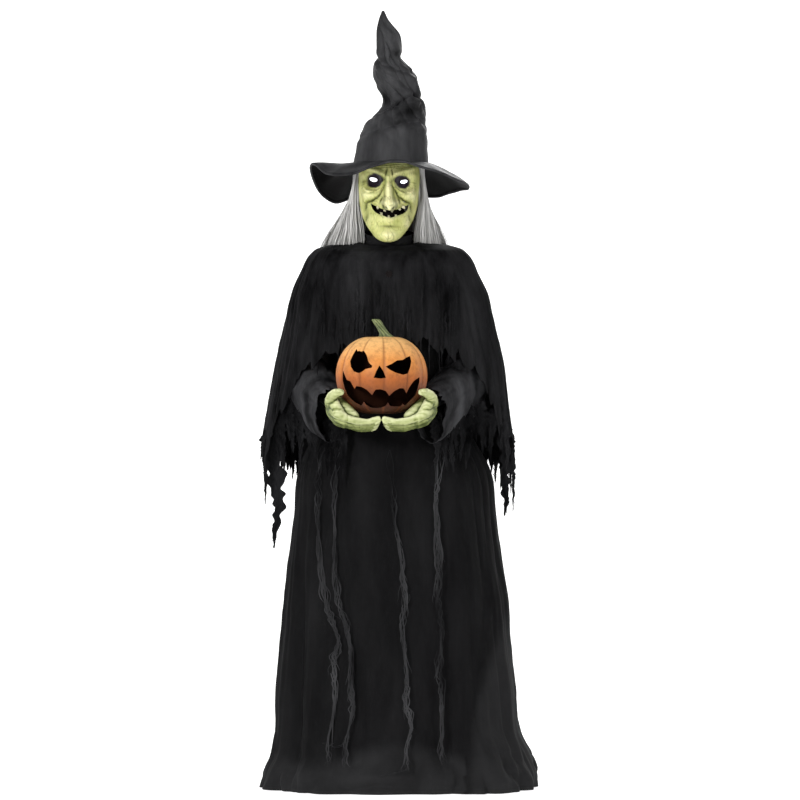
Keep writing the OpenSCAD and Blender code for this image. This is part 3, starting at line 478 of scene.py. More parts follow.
def hair_material():
    shades_of_grey = [(0.25, (0.34, 0.335, 0.32)), (0.55, (0.52, 0.515, 0.5)), (0.85, (0.7, 0.69, 0.67))]
    return painted_material("grey_hair", (90, 5, (1, 1, 0.04)), shades_of_grey, Roughness=0.5)


def face_material():
    """Painted latex: yellow green, with painted shade in olive in the creases and hollows, a painted highlight on
    the parts that stand out, and dark eye rings.
    """
    return painted_material(
        "face_latex",
        (34, 5),
        [(0.25, (0.27, 0.29, 0.075)), (0.5, (0.42, 0.43, 0.155)), (0.8, (0.6, 0.58, 0.28))],
        [("painted_highlight", (0.66, 0.64, 0.34)), ("crease", (0.05, 0.058, 0.01)), ("socket", (0.006, 0.002, 0.006))],
        [(420, 6, 0.0008, 0.45), (1500, 2, 0.0003, 0.4)],
        Roughness=0.46,
        Specular_IOR_Level=0.22,
        Subsurface_Weight=0.05,
        Subsurface_Scale=0.004,
    )


def hand_material():
    # olive paint, with painted shade and a painted highlight where the hand's mesh marks them
    return painted_material(
        "hand_paint",
        (26, 5),
        [(0.25, (0.12, 0.145, 0.034)), (0.55, (0.2, 0.23, 0.07)), (0.85, (0.31, 0.34, 0.13))],
        [("painted_highlight", (0.6, 0.62, 0.36)), ("crease", (0.03, 0.045, 0.008))],
        [(300, 6, 0.001, 0.5)],
        Roughness=0.46,
        Specular_IOR_Level=0.22,
    )


def pumpkin_material():
    """Peach at the top, orange in the middle and red brown below, with painted shade darkening the bottom almost to
    black, and darker grooves.
    """
    mat, shader, links = new_material("pumpkin_paint")
    # colour by height; the two lowest stops, near black and dark brown, are painted shade at the bottom
    stops = [
        (0.0, (0.015, 0.004, 0.002)),
        (0.22, (0.06, 0.016, 0.006)),
        (0.46, (0.29, 0.08, 0.014)),
        (0.68, (0.53, 0.205, 0.047)),
        (0.93, (0.8, 0.46, 0.175)),
    ]
    body = shades(mat, attribute(mat, "height"), stops)
    spots = shades(mat, noise_of(mat, 75, 8, rough=0.75), [(0.47, (0, 0, 0)), (0.7, (0.6, 0.6, 0.6))])
    freckled = blended(mat, spots, body, (0.05, 0.013, 0.004))
    patches = shades(mat, noise_of(mat, 18, 4), [(0.35, (0, 0, 0)), (0.8, (0.7, 0.7, 0.7))])
    links.new(blended(mat, patches, freckled, body), shader.inputs["Base Color"])
    tint(mat, attribute(mat, "groove"), (0.12, 0.034, 0.009))
    set_inputs(shader, Roughness=0.5, Specular_IOR_Level=0.2)
    relief(mat, shader, noise_of(mat, 120, 7), 0.0018, 0.6)
    return mat


def stem_material():
    """Dark green paint with pale ribs."""
    greens = [(0.3, (0.055, 0.075, 0.018)), (0.7, (0.2, 0.23, 0.085))]
    creases_ = [("crease", (0.02, 0.028, 0.006))]
    return painted_material("stem_paint", (60, 5), greens, creases_, [(300, 5, 0.0008, 0.6)], Roughness=0.5)


def glow_material():
    return painted_material(
        "eye_glow",
        (60,),
        [(0.3, (0.9, 0.92, 0.97)), (0.7, (1, 1, 1))],
        Emission_Color=(0.92, 0.95, 1.0, 1),
        Emission_Strength=1.6,
        Roughness=0.15,
    )


# ------------------------------------------------------------------ hat

HAT = (-0.022, 0.048)  # centre of the hat's base
# height, left edge and right edge of the crown
CROWN = [
    (BRIM_Z - 0.004, -0.11, 0.066),
    (1.497, -0.103, 0.064),
    (1.527, -0.096, 0.063),
    (1.554, -0.084, 0.061),
    (1.573, -0.07, 0.059),
    (1.59, -0.05, 0.057),
    (1.605, -0.041, 0.053),
    (1.627, -0.039, 0.047),
    (1.651, -0.051, 0.041),
    (1.672, -0.061, 0.035),
    (1.69, -0.062, 0.028),
    (1.703, -0.061, 0.014),
    (1.718, -0.055, 0.001),
    (1.735, -0.056, 0.004),
    (1.755, -0.053, 0.0),
    (1.774, -0.052, -0.004),
    (1.792, -0.051, -0.016),
    (1.81, -0.047, -0.029),
    (HAT_TOP - 0.001, -0.041, -0.039),
]


# painted shade in the crown's hollows, as rows of hills
CROWN_SHADE = [
    (0.95, 0.022, 1.59, 0.028, 0.017, 0.25),
    (0.85, -0.036, 1.62, 0.014, 0.02, 0),
    (0.8, -0.008, 1.727, 0.01, 0.012, 0),
    (0.6, 0.0, 1.56, 0.02, 0.006, 0.3),
]


def hat_crown(material):
    rows, columns = 230, 180
    z = np.linspace(CROWN[0][0], CROWN[-1][0], rows)
    left, right = through(CROWN, z)
    height = HAT_TOP - BRIM_Z
    up = (z - BRIM_Z) / height
    z, up, cx, half = (v[:, None] for v in (z, up, (left + right) / 2, (right - left) / 2))
    a = full_turn(columns)[None]
    cloth = around(a, 1.3, z * 17)
    fold = creases(around(a + up * 5.5, 1.2, z * 17 * 0.55), 1.0, 3.1) - 0.5
    fine = creases(cloth * (1.7, 1.7, 1.6), 1.0, 8.4) - 0.5
    slack = ramp(up, 0.04, 0.32) * (1 - 0.62 * np.cos(a) ** 2) * np.clip(half / 0.03, 0.15, 1)
    inward = (0.015 * fold + 0.005 * fine) * slack + 0.0012 * lumps(cloth * 2.2, 1.0, 2.0)
    # folds where the crown slumps: share of the height, tilt round the crown and depth
    rear = 0.55 - 0.45 * np.sin(a)
    for level, tilt, drop in ((0.355, 0.03, 0.01), (0.645, -0.02, 0.007), (0.205, 0.02, 0.0035)):
        line = (up - level) * height - tilt * np.cos(a + 0.6)
        inward += drop * (0.6 * hill(line, -0.014, 0.009) - hill(line, 0, 0.0055)) * rear
    depth = half * np.interp(up, [0, 0.3, 0.45, 1], [1.05, 0.98, 0.92, 0.95])
    x = cx + (half + inward) * np.cos(a)
    y = HAT[1] + 0.002 + (depth + inward) * np.sin(a)
    points = np.stack(np.broadcast_arrays(x, y, z), -1)[::-1]
    crown = grid_object("crown", points, material, closed=True)
    x, z = points[..., 0], points[..., 2]
    # painted shade: the listed hollows, and fainter in every valley of the folds
    dark = hills(CROWN_SHADE, x, z).ravel() + 0.1 * cavity(crown, 6)
    paint(crown, "under", np.clip(dark, 0, 0.9))
    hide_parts("hat_crown")
    return thicken(crown, CROWN_FELT)


# angle round the hat, height above the brim line and reach of the brim's edge
BRIM_EDGE = [
    (-90, -0.002, 0.158),
    (-62, -0.012, 0.163),
    (-34, -0.04, 0.176),
    (-8, -0.054, 0.186),
    (8, -0.06, 0.176),
    (25, -0.062, 0.16),
    (60, -0.074, 0.16),
    (90, -0.064, 0.163),
    (120, -0.074, 0.168),
    (145, -0.084, 0.17),
    (165, -0.06, 0.178),
    (181, -0.012, 0.19),
    (195, -0.004, 0.186),
    (212, -0.024, 0.176),
    (230, -0.034, 0.168),
    (250, -0.016, 0.161),
    (270, -0.002, 0.158),
]


def brim_surface(a, s):
    """Points of the brim at angles a in degrees and shares s of the way out."""
    lift, reach = through(BRIM_EDGE, a)
    rad = np.radians(a)
    inner_x, inner_y = 0.0885, 0.0935  # where the brim meets the crown
    ruffle = 0.006 * lumps(around(rad, 2, s * 1.2), 1.6, 5.0)
    x = HAT[0] + np.cos(rad) * (inner_x + (reach - inner_x) * s)
    y = HAT[1] + np.sin(rad) * (inner_y + (reach - inner_y) * s)
    z = BRIM_Z - 0.001 + lift * s**1.35 + ruffle * s + 0.004 * np.sin(rad * 3 + 0.8) * s * (1 - s)
    return np.stack([x, y, z], -1)


def hat_brim(material, stitch_material):
    columns = 220
    a = -90 + np.arange(columns) * 360 / columns
    s, aa = crossed(np.linspace(0, 1, 26), a)
    brim = grid_object("brim", brim_surface(aa, s), material, closed=True)
    thicken(brim, BRIM_FELT)
    # painted shade on the brim's underside, where its faces point down
    paint(brim, "under", np.clip(-4 * read(brim, "normal")[:, 2], 0, 1))
    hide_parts("hat_brim")
    # rolled edge with the brim's wire inside
    edge = brim_surface(a, np.ones(columns)) + (0, 0, -0.0012)
    ring = tube_points(np.concatenate([edge, edge[:1]]), 0.0027, 8)
    rolled = grid_object("brim_binding", ring, material, closed=True)
    # rows of stitches beside the edge and at the crown
    bundle = Bundle()
    stitches_per_row, gap, length = 150, 2.4, 1.3
    for share in (0.88, 0.94, 0.06):
        for k in range(stitches_per_row):
            ends = np.array([0, length]) + k * gap - 90
            mark = brim_surface(ends, np.full(2, share)) + (0, 0, 0.0004)
            bundle.add(tube_points(mark, 0.0005, 5), closed=True, capped=True)
    stitches = bundle.build("brim_stitches", stitch_material)
    return brim, rolled, stitches


# ------------------------------------------------------------------ face

# one row per level: place, front y and z, side y and z, half width
HEAD_RINGS = [
    (0, -0.078, 1.47, -0.008, 1.47, 0.0715),
    (1, -0.086, 1.448, -0.006, 1.448, 0.0735),
    (2, -0.088, 1.424, -0.004, 1.426, 0.0735),
    (3, -0.089, 1.402, -0.002, 1.406, 0.073),
    (4, -0.091, 1.381, 0.0, 1.388, 0.072),
    (5, -0.094, 1.36, 0.0, 1.371, 0.07),
    (6, -0.095, 1.34, -0.002, 1.356, 0.0665),
    (7, -0.096, 1.32, -0.006, 1.343, 0.062),
    (8, -0.099, 1.302, -0.012, 1.334, 0.0565),
    (9, -0.101, 1.289, -0.017, 1.328, 0.05),
    (10, -0.096, 1.2795, -0.021, 1.323, 0.0445),
    (11, -0.082, 1.2785, -0.022, 1.318, 0.041),
    (12, -0.066, 1.288, -0.02, 1.31, 0.039),
    (13, -0.05, 1.298, -0.016, 1.302, 0.038),
]

# Places on the face are measured from the neck axis.
MOUTH = (-0.04, 0.047, 1.369)  # left corner, right corner and height of the corners
EYES = [(-0.0365, 1.4225, 0.0185, 0.0172), (0.035, 1.4205, 0.0178, 0.0155)]  # x, z and half sizes
NOSE_X = 0.003
EYE_LEVEL = 1.42
TILT = math.radians(-1.2)  # the head leans a little to one side
# the mask's marks: painted shade in the creases, dark eye rings and painted highlight
FACE_PAINT = ("crease", "socket", "painted_highlight")

# Lines of the face: x and z of the middle, half length, turn and depth. They run from the
# nose's side down over the cheek to beyond the mouth's corner.
FOLDS = [
    (0.019, 1.393, 0.012, -1.1, 0.9),
    (0.03, 1.381, 0.01, -0.65, 1.0),
    (0.042, 1.374, 0.01, -0.3, 1.0),
    (0.0535, 1.363, 0.0105, -1.15, 0.9),
    (0.031, 1.3985, 0.012, -0.55, 0.5),
]
CHEEK_LINES = [(0.052 + 0.004 * k, 1.334 - 0.004 * k) for k in range(3)]
# Hills, also used for paint: height, x and z of the middle, half sizes and turn.
SIDE_HILLS = [
    (0.006, 0.037, 1.4475, 0.026, 0.007, 0.36),  # brow
    (0.0042, 0.0175, 1.4375, 0.01, 0.008, 0.6),
    (0.0035, 0.06, 1.438, 0.012, 0.009, 0),
    (-0.003, 0.0072, 1.442, 0.0019, 0.01, 0.15),  # frown
    (0.0115, 0.046, 1.39, 0.017, 0.0115, 0.35),  # cheekbone
    (-0.006, 0.057, 1.346, 0.012, 0.02, -0.3),  # hollow cheek
    (0.004, 0.038, 1.32, 0.018, 0.016, 0),  # jaw muscle
    (0.0036, 0.055, 1.373, 0.006, 0.011, 0.3),
    *((-0.004 * depth, x, z, half, 0.0021, turn) for x, z, half, turn, depth in FOLDS),
    *((-0.0012, x, z, 0.0014, 0.012, 0.2) for x, z in CHEEK_LINES),
]
# Painted shade in the creases and hollows: amount, x and z of the middle, half sizes and turn.
SIDE_CREASES = [
    (0.8, 0.015, 1.429, 0.011, 0.0036, 0.8),  # inner corner of the eye
    (0.3, 0.037, 1.4385, 0.022, 0.004, 0.36),  # below the brow
    (1.0, 0.0072, 1.442, 0.002, 0.011, 0.15),  # frown
    (0.45, 0.06, 1.348, 0.009, 0.024, -0.3),  # hollow cheek
    (0.35, 0.066, 1.4, 0.006, 0.03, 0),  # temple
    *((0.95 * depth, x, z, half, 0.0024, turn) for x, z, half, turn, depth in FOLDS),
    *((0.6, 0.062, 1.42 - 0.007 * k, 0.007, 0.0012, -0.1 - 0.25 * k) for k in range(3)),  # crow's feet
    *((0.6, x, z, 0.0013, 0.012, 0.2) for x, z in CHEEK_LINES),
]
# the nose's wing and nostril, measured from its centre line
NOSE_HILLS = [(0.0135, 0.0128, 1.3725, 0.0072, 0.008, 0), (-0.007, 0.008, 1.3635, 0.0036, 0.003, 0)]
# painted shade beside the nose's wing and in the nostril
NOSE_CREASES = [(1.0, 0.0205, 1.3755, 0.0026, 0.0095, 0.35), (1.0, 0.008, 1.363, 0.0038, 0.003, 0)]
CHIN_HILLS = [
    (0.012, 0.001, 1.295, 0.02, 0.014, 0),
    (-0.0035, 0.002, 1.315, 0.02, 0.0032, 0),
    (0.0085, 0.0, 1.333, 0.017, 0.013, 0),  # below the lower lip
]
# painted shade in the crease over the chin and down the chin's middle
CHIN_CREASES = [(0.75, 0.002, 1.3155, 0.02, 0.0026, 0), (0.4, 0.001, 1.292, 0.0016, 0.009, 0)]


def head_base(level, a):
    """Smooth head at these levels and angles, before the features."""
    fy, fz, sy, sz, w = through(HEAD_RINGS, level)
    c = np.cos(a)
    x = w * np.sin(a)
    return np.stack([x, sy + (fy - sy) * c, sz + (fz - sz) * c], -1)


def mouth_line(x, upper):
    """Height of the lip line, and of the seam beyond the corners."""
    left, right, corner_z = MOUTH
    t = np.clip((x - left) / (right - left), 0, 1)
    arch = np.sin(np.pi * t)
    wave = 0.0013 * np.sin(t * np.pi * 5) * arch
    sag = 0.0145 * arch**0.8 if upper else 0.0325 * arch**0.52
    return corner_z - sag + (wave if upper else -wave)


def level_at(x_line, a):
    """Level where the head's surface at each angle meets a height line."""
    lo, hi = np.full(a.shape, 3.0), np.full(a.shape, 8.5)
    for _ in range(26):
        mid = (lo + hi) / 2
        p = head_base(mid, a)
        above = p[..., 2] > x_line(p[..., 0])
        lo, hi = np.where(above, mid, lo), np.where(above, hi, mid)
    return (lo + hi) / 2


def features(p):
    """Moves points of the head to form the features. Returns points, painted shade for the creases, dark eye rings
    and painted highlight for the parts that stand out.
    """
    x, z = p[..., 0], p[..., 2]
    # crease gathers painted shade in the creases and hollows, the darker lips and fine lines; hollow gathers the
    # dark eye rings
    out, crease, hollow = np.zeros((3, *x.shape))
    front = ramp(-p[..., 1], 0.03, 0.06)
    for s, (eye_x, eye_z, rx, rz) in zip((-1, 1), EYES):
        out += hills(SIDE_HILLS, x, z, s) + hills(NOSE_HILLS, x, z, s, NOSE_X)
        crease += hills(SIDE_CREASES, x, z, s) + hills(NOSE_CREASES, x, z, s, NOSE_X)
        # eye hollow and the bag below it
        out -= 0.015 * bump(x, z, eye_x, eye_z, 0.0175, 0.015)
        r = np.hypot((x - eye_x) / 0.0215, (z - (eye_z - 0.003)) / 0.0205)
        bag = np.clip(eye_z + 0.002 - z, 0, 0.01) / 0.01
        out += 0.0046 * hill(r, 1.05, 0.14) * bag
        crease += 0.38 * hill(r, 1.3, 0.12) * bag * bump(x, z, s * 0.022, 1.404, 0.02, 0.018)
        # dark ring, drawn out to the bridge of the nose
        ring = np.hypot((x - eye_x) / rx, (z - eye_z) / rz) + 0.1 * lumps(p, 90, 4.0)
        corner = bump(x, z, s * 0.0185, 1.4265, 0.0085, 0.0042, s * 0.75)
        hollow = np.maximum(hollow, 1 - ramp(ring - 0.45 * corner, 0.86, 1.14))
    # long nose with its hooked tip
    along = np.clip((1.432 - z) / 0.072, 0, 1)
    aside = x + 0.0015 - 0.005 * along**1.5
    width = 0.0054 + 0.005 * along + 0.0022 * hill(z, 1.367, 0.008)
    below = ramp(z, 1.353, 1.361)
    ridge = (0.006 + 0.033 * along**1.25 + 0.0055 * hill(z, 1.405, 0.01)) * below
    nose = hill(aside, 0, width) * ridge * ramp(1.44 - z, 0, 0.01)
    out += nose
    down = 0.011 * hill(aside, 0, 0.0095) * hill(z, 1.364, 0.008)
    crease += 0.75 * hill(np.abs(aside), width * 1.25, 0.0034) * along**0.6 * below
    # lips, chin and the crease over it
    left, right, _ = MOUTH
    inside = ramp(x, left - 0.003, left + 0.006) * ramp(-x, -right - 0.003, -right + 0.006)
    for upper, height in ((True, 0.0022), (False, 0.0046)):
        lip = hill(z, mouth_line(x, upper), 0.004) * inside
        out += height * lip
        crease += 0.4 * lip
    out += hills(CHIN_HILLS, x, z)
    crease += hills(CHIN_CREASES, x, z)
    # forehead lines
    for k in range(3):
        line = hill(z, 1.453 + 0.0055 * k + 0.0015 * np.cos(x * 70 + k), 0.0014) * hill(x, 0, 0.045)
        out -= 0.001 * line
        crease += 0.5 * line
    out += 0.0008 * lumps(p, 95, 1.0) + 0.0006 * lumps(p, 210, 6.0)
    crease += 0.4 * (1 - ramp(np.abs(lumps(p * (1, 1, 0.5), 130, 9.0)), 0.0, 0.1))
    # painted highlight on the parts that stand out
    painted_highlight = np.clip((out - 0.0035) / 0.011, 0, 1) * front
    # features grow outwards from the head's axis, and the nose grows straight ahead
    facing = (p + (0, 0.01, 0)) * (1, 1, 0)
    facing /= np.linalg.norm(facing, axis=-1, keepdims=True) + 1e-9
    share = np.clip(nose / 0.01, 0, 1)[..., None]
    q = p + (facing * (1 - share) + np.array((0, -1, 0)) * share) * (out * front)[..., None]
    q[..., 2] -= down * front
    return q, np.clip(crease * front, 0, 1), hollow * front, painted_highlight


def lean(p):
    """Leans points of the head about the height of the eyes, then moves them onto the neck."""
    c, s = math.cos(TILT), math.sin(TILT)
    x, z = p[..., 0], p[..., 2] - EYE_LEVEL
    leaned = np.stack([x * c - z * s, p[..., 1], x * s + z * c + EYE_LEVEL], -1)
    return leaned + (NECK.x, NECK.y, 0)


def face_part(name, first, last, rows, material):
    """Part of the mask between two levels, each one number per column."""
    reach = math.radians(104)
    u = np.linspace(-1, 1, 250)
    a = reach * (0.72 * u + 0.28 * u**3)
    t = np.linspace(0, 1, rows)[:, None]
    level = first(a) * (1 - t) + last(a) * t
    p, *painted = features(head_base(level, np.broadcast_to(a, level.shape)))
    obj = grid_object(name, lean(p), material)
    for key, values in zip(FACE_PAINT, painted):
        paint(obj, key, values)
    return outward(obj)


def lip_edge(name, upper, material):
    """Lip edge that rolls into the mouth, as its own strip."""
    left, right, _ = MOUTH
    x = np.linspace(left + 0.0008, right - 0.0008, 90)
    a = np.arcsin(np.clip(x / 0.0698, -1, 1))
    for _ in range(3):
        level = level_at(lambda v: mouth_line(v, upper), a)
        a = a + (x - head_base(level, a)[..., 0]) / 0.068
    edge = lean(features(head_base(level, a))[0])
    rise = 0.0025 if upper else -0.0025
    rolled = [edge + (0, 0.0065 * math.sin(t), rise * (1 - math.cos(t))) for t in np.linspace(0, math.pi / 2, 6)]
    obj = grid_object(name, np.stack(rolled), material)
    # the lip edge that rolls into the mouth gets painted shade
    for key, value in zip(FACE_PAINT, (0.9, 0, 0)):
        paint(obj, key, np.full(len(obj.data.vertices), value))
    return obj


def teeth(name, upper, material):
    """Small uneven teeth on one jaw."""
    bundle = Bundle()
    rng = random.Random(11 if upper else 5)
    spots = (-0.025, -0.008, 0.01, 0.026, 0.035) if upper else (-0.017, 0.002, 0.018)
    reach = -1 if upper else 1
    k = np.arange(6)
    for x in spots:
        z = mouth_line(np.array([x]), upper)
        length = rng.uniform(0.0062, 0.009)
        sway = np.array([rng.uniform(-0.0006, 0.0006) for _ in k])
        path = np.column_stack([x + sway * k, -0.0885 + 0.0004 * k, z + reach * (length * k / 5 - 0.0025)])
        radii = rng.uniform(0.0028, 0.0036) * np.array([1.0, 1.02, 1.0, 0.9, 0.7, 0.25])
        bundle.add(lean(tube_points(path, radii, 10, 0.6)), closed=True, capped=True)
    return outward(bundle.build(name, material))


def mouth_lining(material):
    """Near-black wall behind the teeth, painted shade for the inside of the mouth."""
    zz, aa = crossed(np.linspace(1.316, 1.376, 14), np.linspace(-0.95, 0.95, 40))
    p = np.stack([0.0575 * np.sin(aa), 0.012 - 0.089 * np.cos(aa), zz], -1)
    return grid_object("mouth_lining", lean(p), material)


def eyeball(name, s, glow):
    """Lit oval lens in a dark socket."""
    wide, high, lift = (0.009, 0.0054, 0.0035) if s < 0 else (0.0082, 0.0048, 0.002)
    cx, cz = EYES[0 if s < 0 else 1][:2]
    tt, aa = crossed(np.linspace(0.02, math.pi / 2, 20), full_turn(32))
    squint = 1 - 0.25 * np.clip(np.sin(aa), 0, 1)
    across = wide * np.sin(tt) * np.cos(aa)
    up = high * np.sin(tt) * np.sin(aa) * squint + s * 0.16 * across
    p = np.stack([cx + across, -0.07 - 0.0045 * np.cos(tt), cz + lift + up], -1)
    return outward(grid_object(name, lean(p), glow, closed=True))


# ------------------------------------------------------------------ hair


def hair_line(a):
    """How far the hair stands out from the neck axis at shoulder height, at each angle."""
    side = np.abs(np.cos(a)) ** 1.5
    return np.where(np.cos(a) < 0, 0.15, 0.124) * side + 0.112 * np.clip(np.sin(a), 0, 1)


def hair_point(a, z, layer):
    """Place in the hair: angle round the neck, height, and layer from 0 inside to 1 outside."""
    flare = ramp(1.435 - z, 0.0, 0.19) ** 1.2
    # the hair frames the temples, opens beside the cheeks and closes again under the jaw
    wide = np.interp(z, [1.24, 1.31, 1.36, 1.4, 1.43, 1.476], [1.0, 1.0, 0.94, 0.87, 0.88, 1.02])
    a = math.pi / 2 + (a - math.pi / 2) * wide
    inner = 0.0775 - 0.0145 * flare
    r0 = 0.0775 + 0.006 * layer
    r1 = inner + (hair_line(a) - inner) * layer
    r = r0 + (r1 - r0) * flare
    forward = np.where(np.sin(a) < 0, 0.8, 1.0)
    x = NECK.x + r * np.cos(a)
    y = NECK.y + forward * r * np.sin(a) + 0.02 * flare * np.abs(np.cos(a))
    return np.stack(np.broadcast_arrays(x, y, z), -1)


STRANDS = 5200  # loose ribbons of hair


def hair(name, material):
    """Long loose ribbons over an inner curtain, from under the hat to the shoulders."""
    rng = random.Random(4)
    bundle = Bundle()
    for layer in (0.25, 0.62):
        a = np.radians(np.linspace(-27, 207, 150))
        zz, aa = crossed(np.linspace(1.476, 1.262, 26), a)
        wave = 0.003 * lumps(around(aa, 26, zz * 2.5), 1.0, layer)
        bundle.add(hair_point(aa, zz, layer) + around(aa, wave, 0))
    for _ in range(STRANDS):
        # 0 is beside the left cheek, 1 beside the right cheek, round the back
        t = rng.random() if rng.random() < 0.45 else rng.choice((rng.uniform(0, 0.22), rng.uniform(0.78, 1.0)))
        a = math.radians(212 - 244 * t)
        start_z = rng.uniform(1.452, 1.476) if rng.random() < 0.55 else rng.uniform(1.34, 1.46)
        layer = rng.random() ** 0.7 * 1.03
        end_z = rng.uniform(1.232, 1.272) - 0.05 * max(0.0, math.sin(a))
        k = np.linspace(0, 1, 11)
        z = start_z + (end_z - start_z) * k
        ang = a + rng.gauss(0, 0.05) * k + 0.02 * np.sin(k * 5 + rng.uniform(0, 6))
        away = around(ang, 1, 0)
        path = hair_point(ang, z, layer) + away * (rng.gauss(0, 0.0025) * np.sin(k * 3))[:, None]
        across = np.cross(np.gradient(path, axis=0), away)
        across /= np.linalg.norm(across, axis=1, keepdims=True)
        turn = rng.uniform(-0.6, 0.6)
        across = across * math.cos(turn) + away * math.sin(turn)
        half = rng.uniform(0.0004, 0.001) * np.interp(k, [0, 0.75, 1], [1, 1, 0.2])[:, None]
        bundle.add(np.stack([path - across * half, path + across * half], 1))
    return bundle.build(name, material)


def scalp(material):
    """Wig cap that the strands are sewn to."""
    z, a = np.linspace(1.372, 1.486, 22), np.radians(np.linspace(-22, 202, 70))
    zz, aa = crossed(z, a)
    r = np.interp(zz, [1.372, 1.43, 1.486], [0.0765, 0.076, 0.07]) + 0.001 * lumps(around(aa, 9, zz * 8), 1.0)
    flat_front = np.where(np.sin(aa) < 0, 0.75, 1)
    p = np.stack([NECK.x + r * np.cos(aa), NECK.y + r * np.sin(aa) * flat_front, zz], -1)
    return grid_object("wig_cap", p, material)


# ------------------------------------------------------------------ robe, cape and sleeves

# height, centre x, centre y, half width, half depth
ROBE = [
    (0.0, 0.0, 0.0, 0.328, 0.294),
    (0.02, 0.0, 0.0, 0.326, 0.292),
    (0.045, 0.0, 0.001, 0.32, 0.284),
    (0.071, 0.002, 0.004, 0.308, 0.268),
    (0.119, -0.004, 0.008, 0.293, 0.252),
    (0.228, -0.008, 0.015, 0.285, 0.239),
    (0.323, -0.01, 0.02, 0.275, 0.225),
    (0.442, -0.01, 0.025, 0.267, 0.212),
    (0.537, -0.012, 0.03, 0.257, 0.201),
    (0.633, -0.012, 0.035, 0.246, 0.188),
    (0.74, -0.014, 0.04, 0.232, 0.168),
    (0.83, -0.02, 0.046, 0.186, 0.13),
    (0.9, -0.026, 0.05, 0.146, 0.104),
    (1.0, -0.026, 0.05, 0.132, 0.106),
    (1.1, -0.026, 0.05, 0.136, 0.108),
    (1.15, -0.026, 0.05, 0.164, 0.108),
    (1.2, -0.026, 0.05, 0.2, 0.104),
    (1.231, -0.026, 0.05, 0.186, 0.096),
    (1.253, -0.026, 0.053, 0.164, 0.081),
    (1.264, -0.026, 0.055, 0.124, 0.068),
    (1.27, -0.026, 0.054, 0.086, 0.061),
    (1.276, -0.026, 0.051, 0.06, 0.053),
    (1.282, -0.026, 0.05, 0.0565, 0.0505),
    (COLLAR_Z + 0.001, -0.026, 0.05, 0.057, 0.051),
]
CAPE = [
    (0.64, -0.028, 0.052, 0.297, 0.152),
    (0.8, -0.028, 0.054, 0.295, 0.152),
    (0.88, -0.026, 0.052, 0.285, 0.149),
    (1.011, -0.022, 0.05, 0.267, 0.142),
    (1.082, -0.024, 0.05, 0.252, 0.134),
    (1.168, -0.025, 0.05, 0.232, 0.124),
    (1.21, -0.026, 0.05, 0.212, 0.116),
    (1.234, -0.026, 0.051, 0.201, 0.109),
    (1.255, -0.026, 0.056, 0.186, 0.098),
    (1.269, -0.026, 0.061, 0.167, 0.087),
    (1.278, -0.026, 0.063, 0.136, 0.08),
    (1.283, -0.026, 0.062, 0.099, 0.074),
    (1.287, -0.026, 0.06, 0.074, 0.067),
]

CAPE_POWER = 2.45  # how square the cape's ovals are
# height and how far the folds reach
ROBE_LOOSE = [
    *((0, 0.018), (0.05, 0.022), (0.3, 0.018), (0.7, 0.012)),
    *((0.85, 0.008), (1.1, 0.006), (1.25, 0.002), (1.28, 0.0004)),
]
CAPE_LOOSE = [(0.6, 0.02), (0.8, 0.016), (1.1, 0.011), (1.24, 0.005), (1.28, 0.0015), (1.29, 0.0005)]
# degrees from the front and height of the cape's lower edge
CAPE_HEM = [(0, 1.045), (22, 1.04), (34, 1.015), (46, 0.97), (58, 0.9), (72, 0.825), (90, 0.765), (180, 0.75)]


def oval(table, a, z, power=2.5):
    """Points on a stack of rounded ovals at angles a and heights z."""
    cx, cy, hw, hd = through(table, z)
    c, s = np.cos(a), np.sin(a)
    x = cx + hw * np.sign(c) * np.abs(c) ** (2 / power)
    y = cy + hd * np.sign(s) * np.abs(s) ** (2 / power)
    return np.stack(np.broadcast_arrays(x, y, z), -1)


def front_of(table, x, z, power=2.5, limit=0.98):
    """Front surface of a stack of rounded ovals at a place."""
    cx, cy, hw, hd = (float(v) for v in through(table, z))
    share = min(limit, abs(x - cx) / hw)
    return cy - hd * (1 - share**power) ** (1 / power)


def hanging_folds(a, z, seed, wide, rise):
    """Long vertical folds, from -1 in a valley to 1 on a crest."""
    spot = around(a, wide, z * rise)
    spot[..., 0] += 0.35 * lumps(spot * (0.5, 0.5, 1.3), 1.0, seed + 7)
    sharp = creases(spot * (2.1, 2.1, 1.2), 1.0, seed + 3) - 0.5
    return 1.25 * lumps(spot, 1.0, seed) + 0.5 * sharp


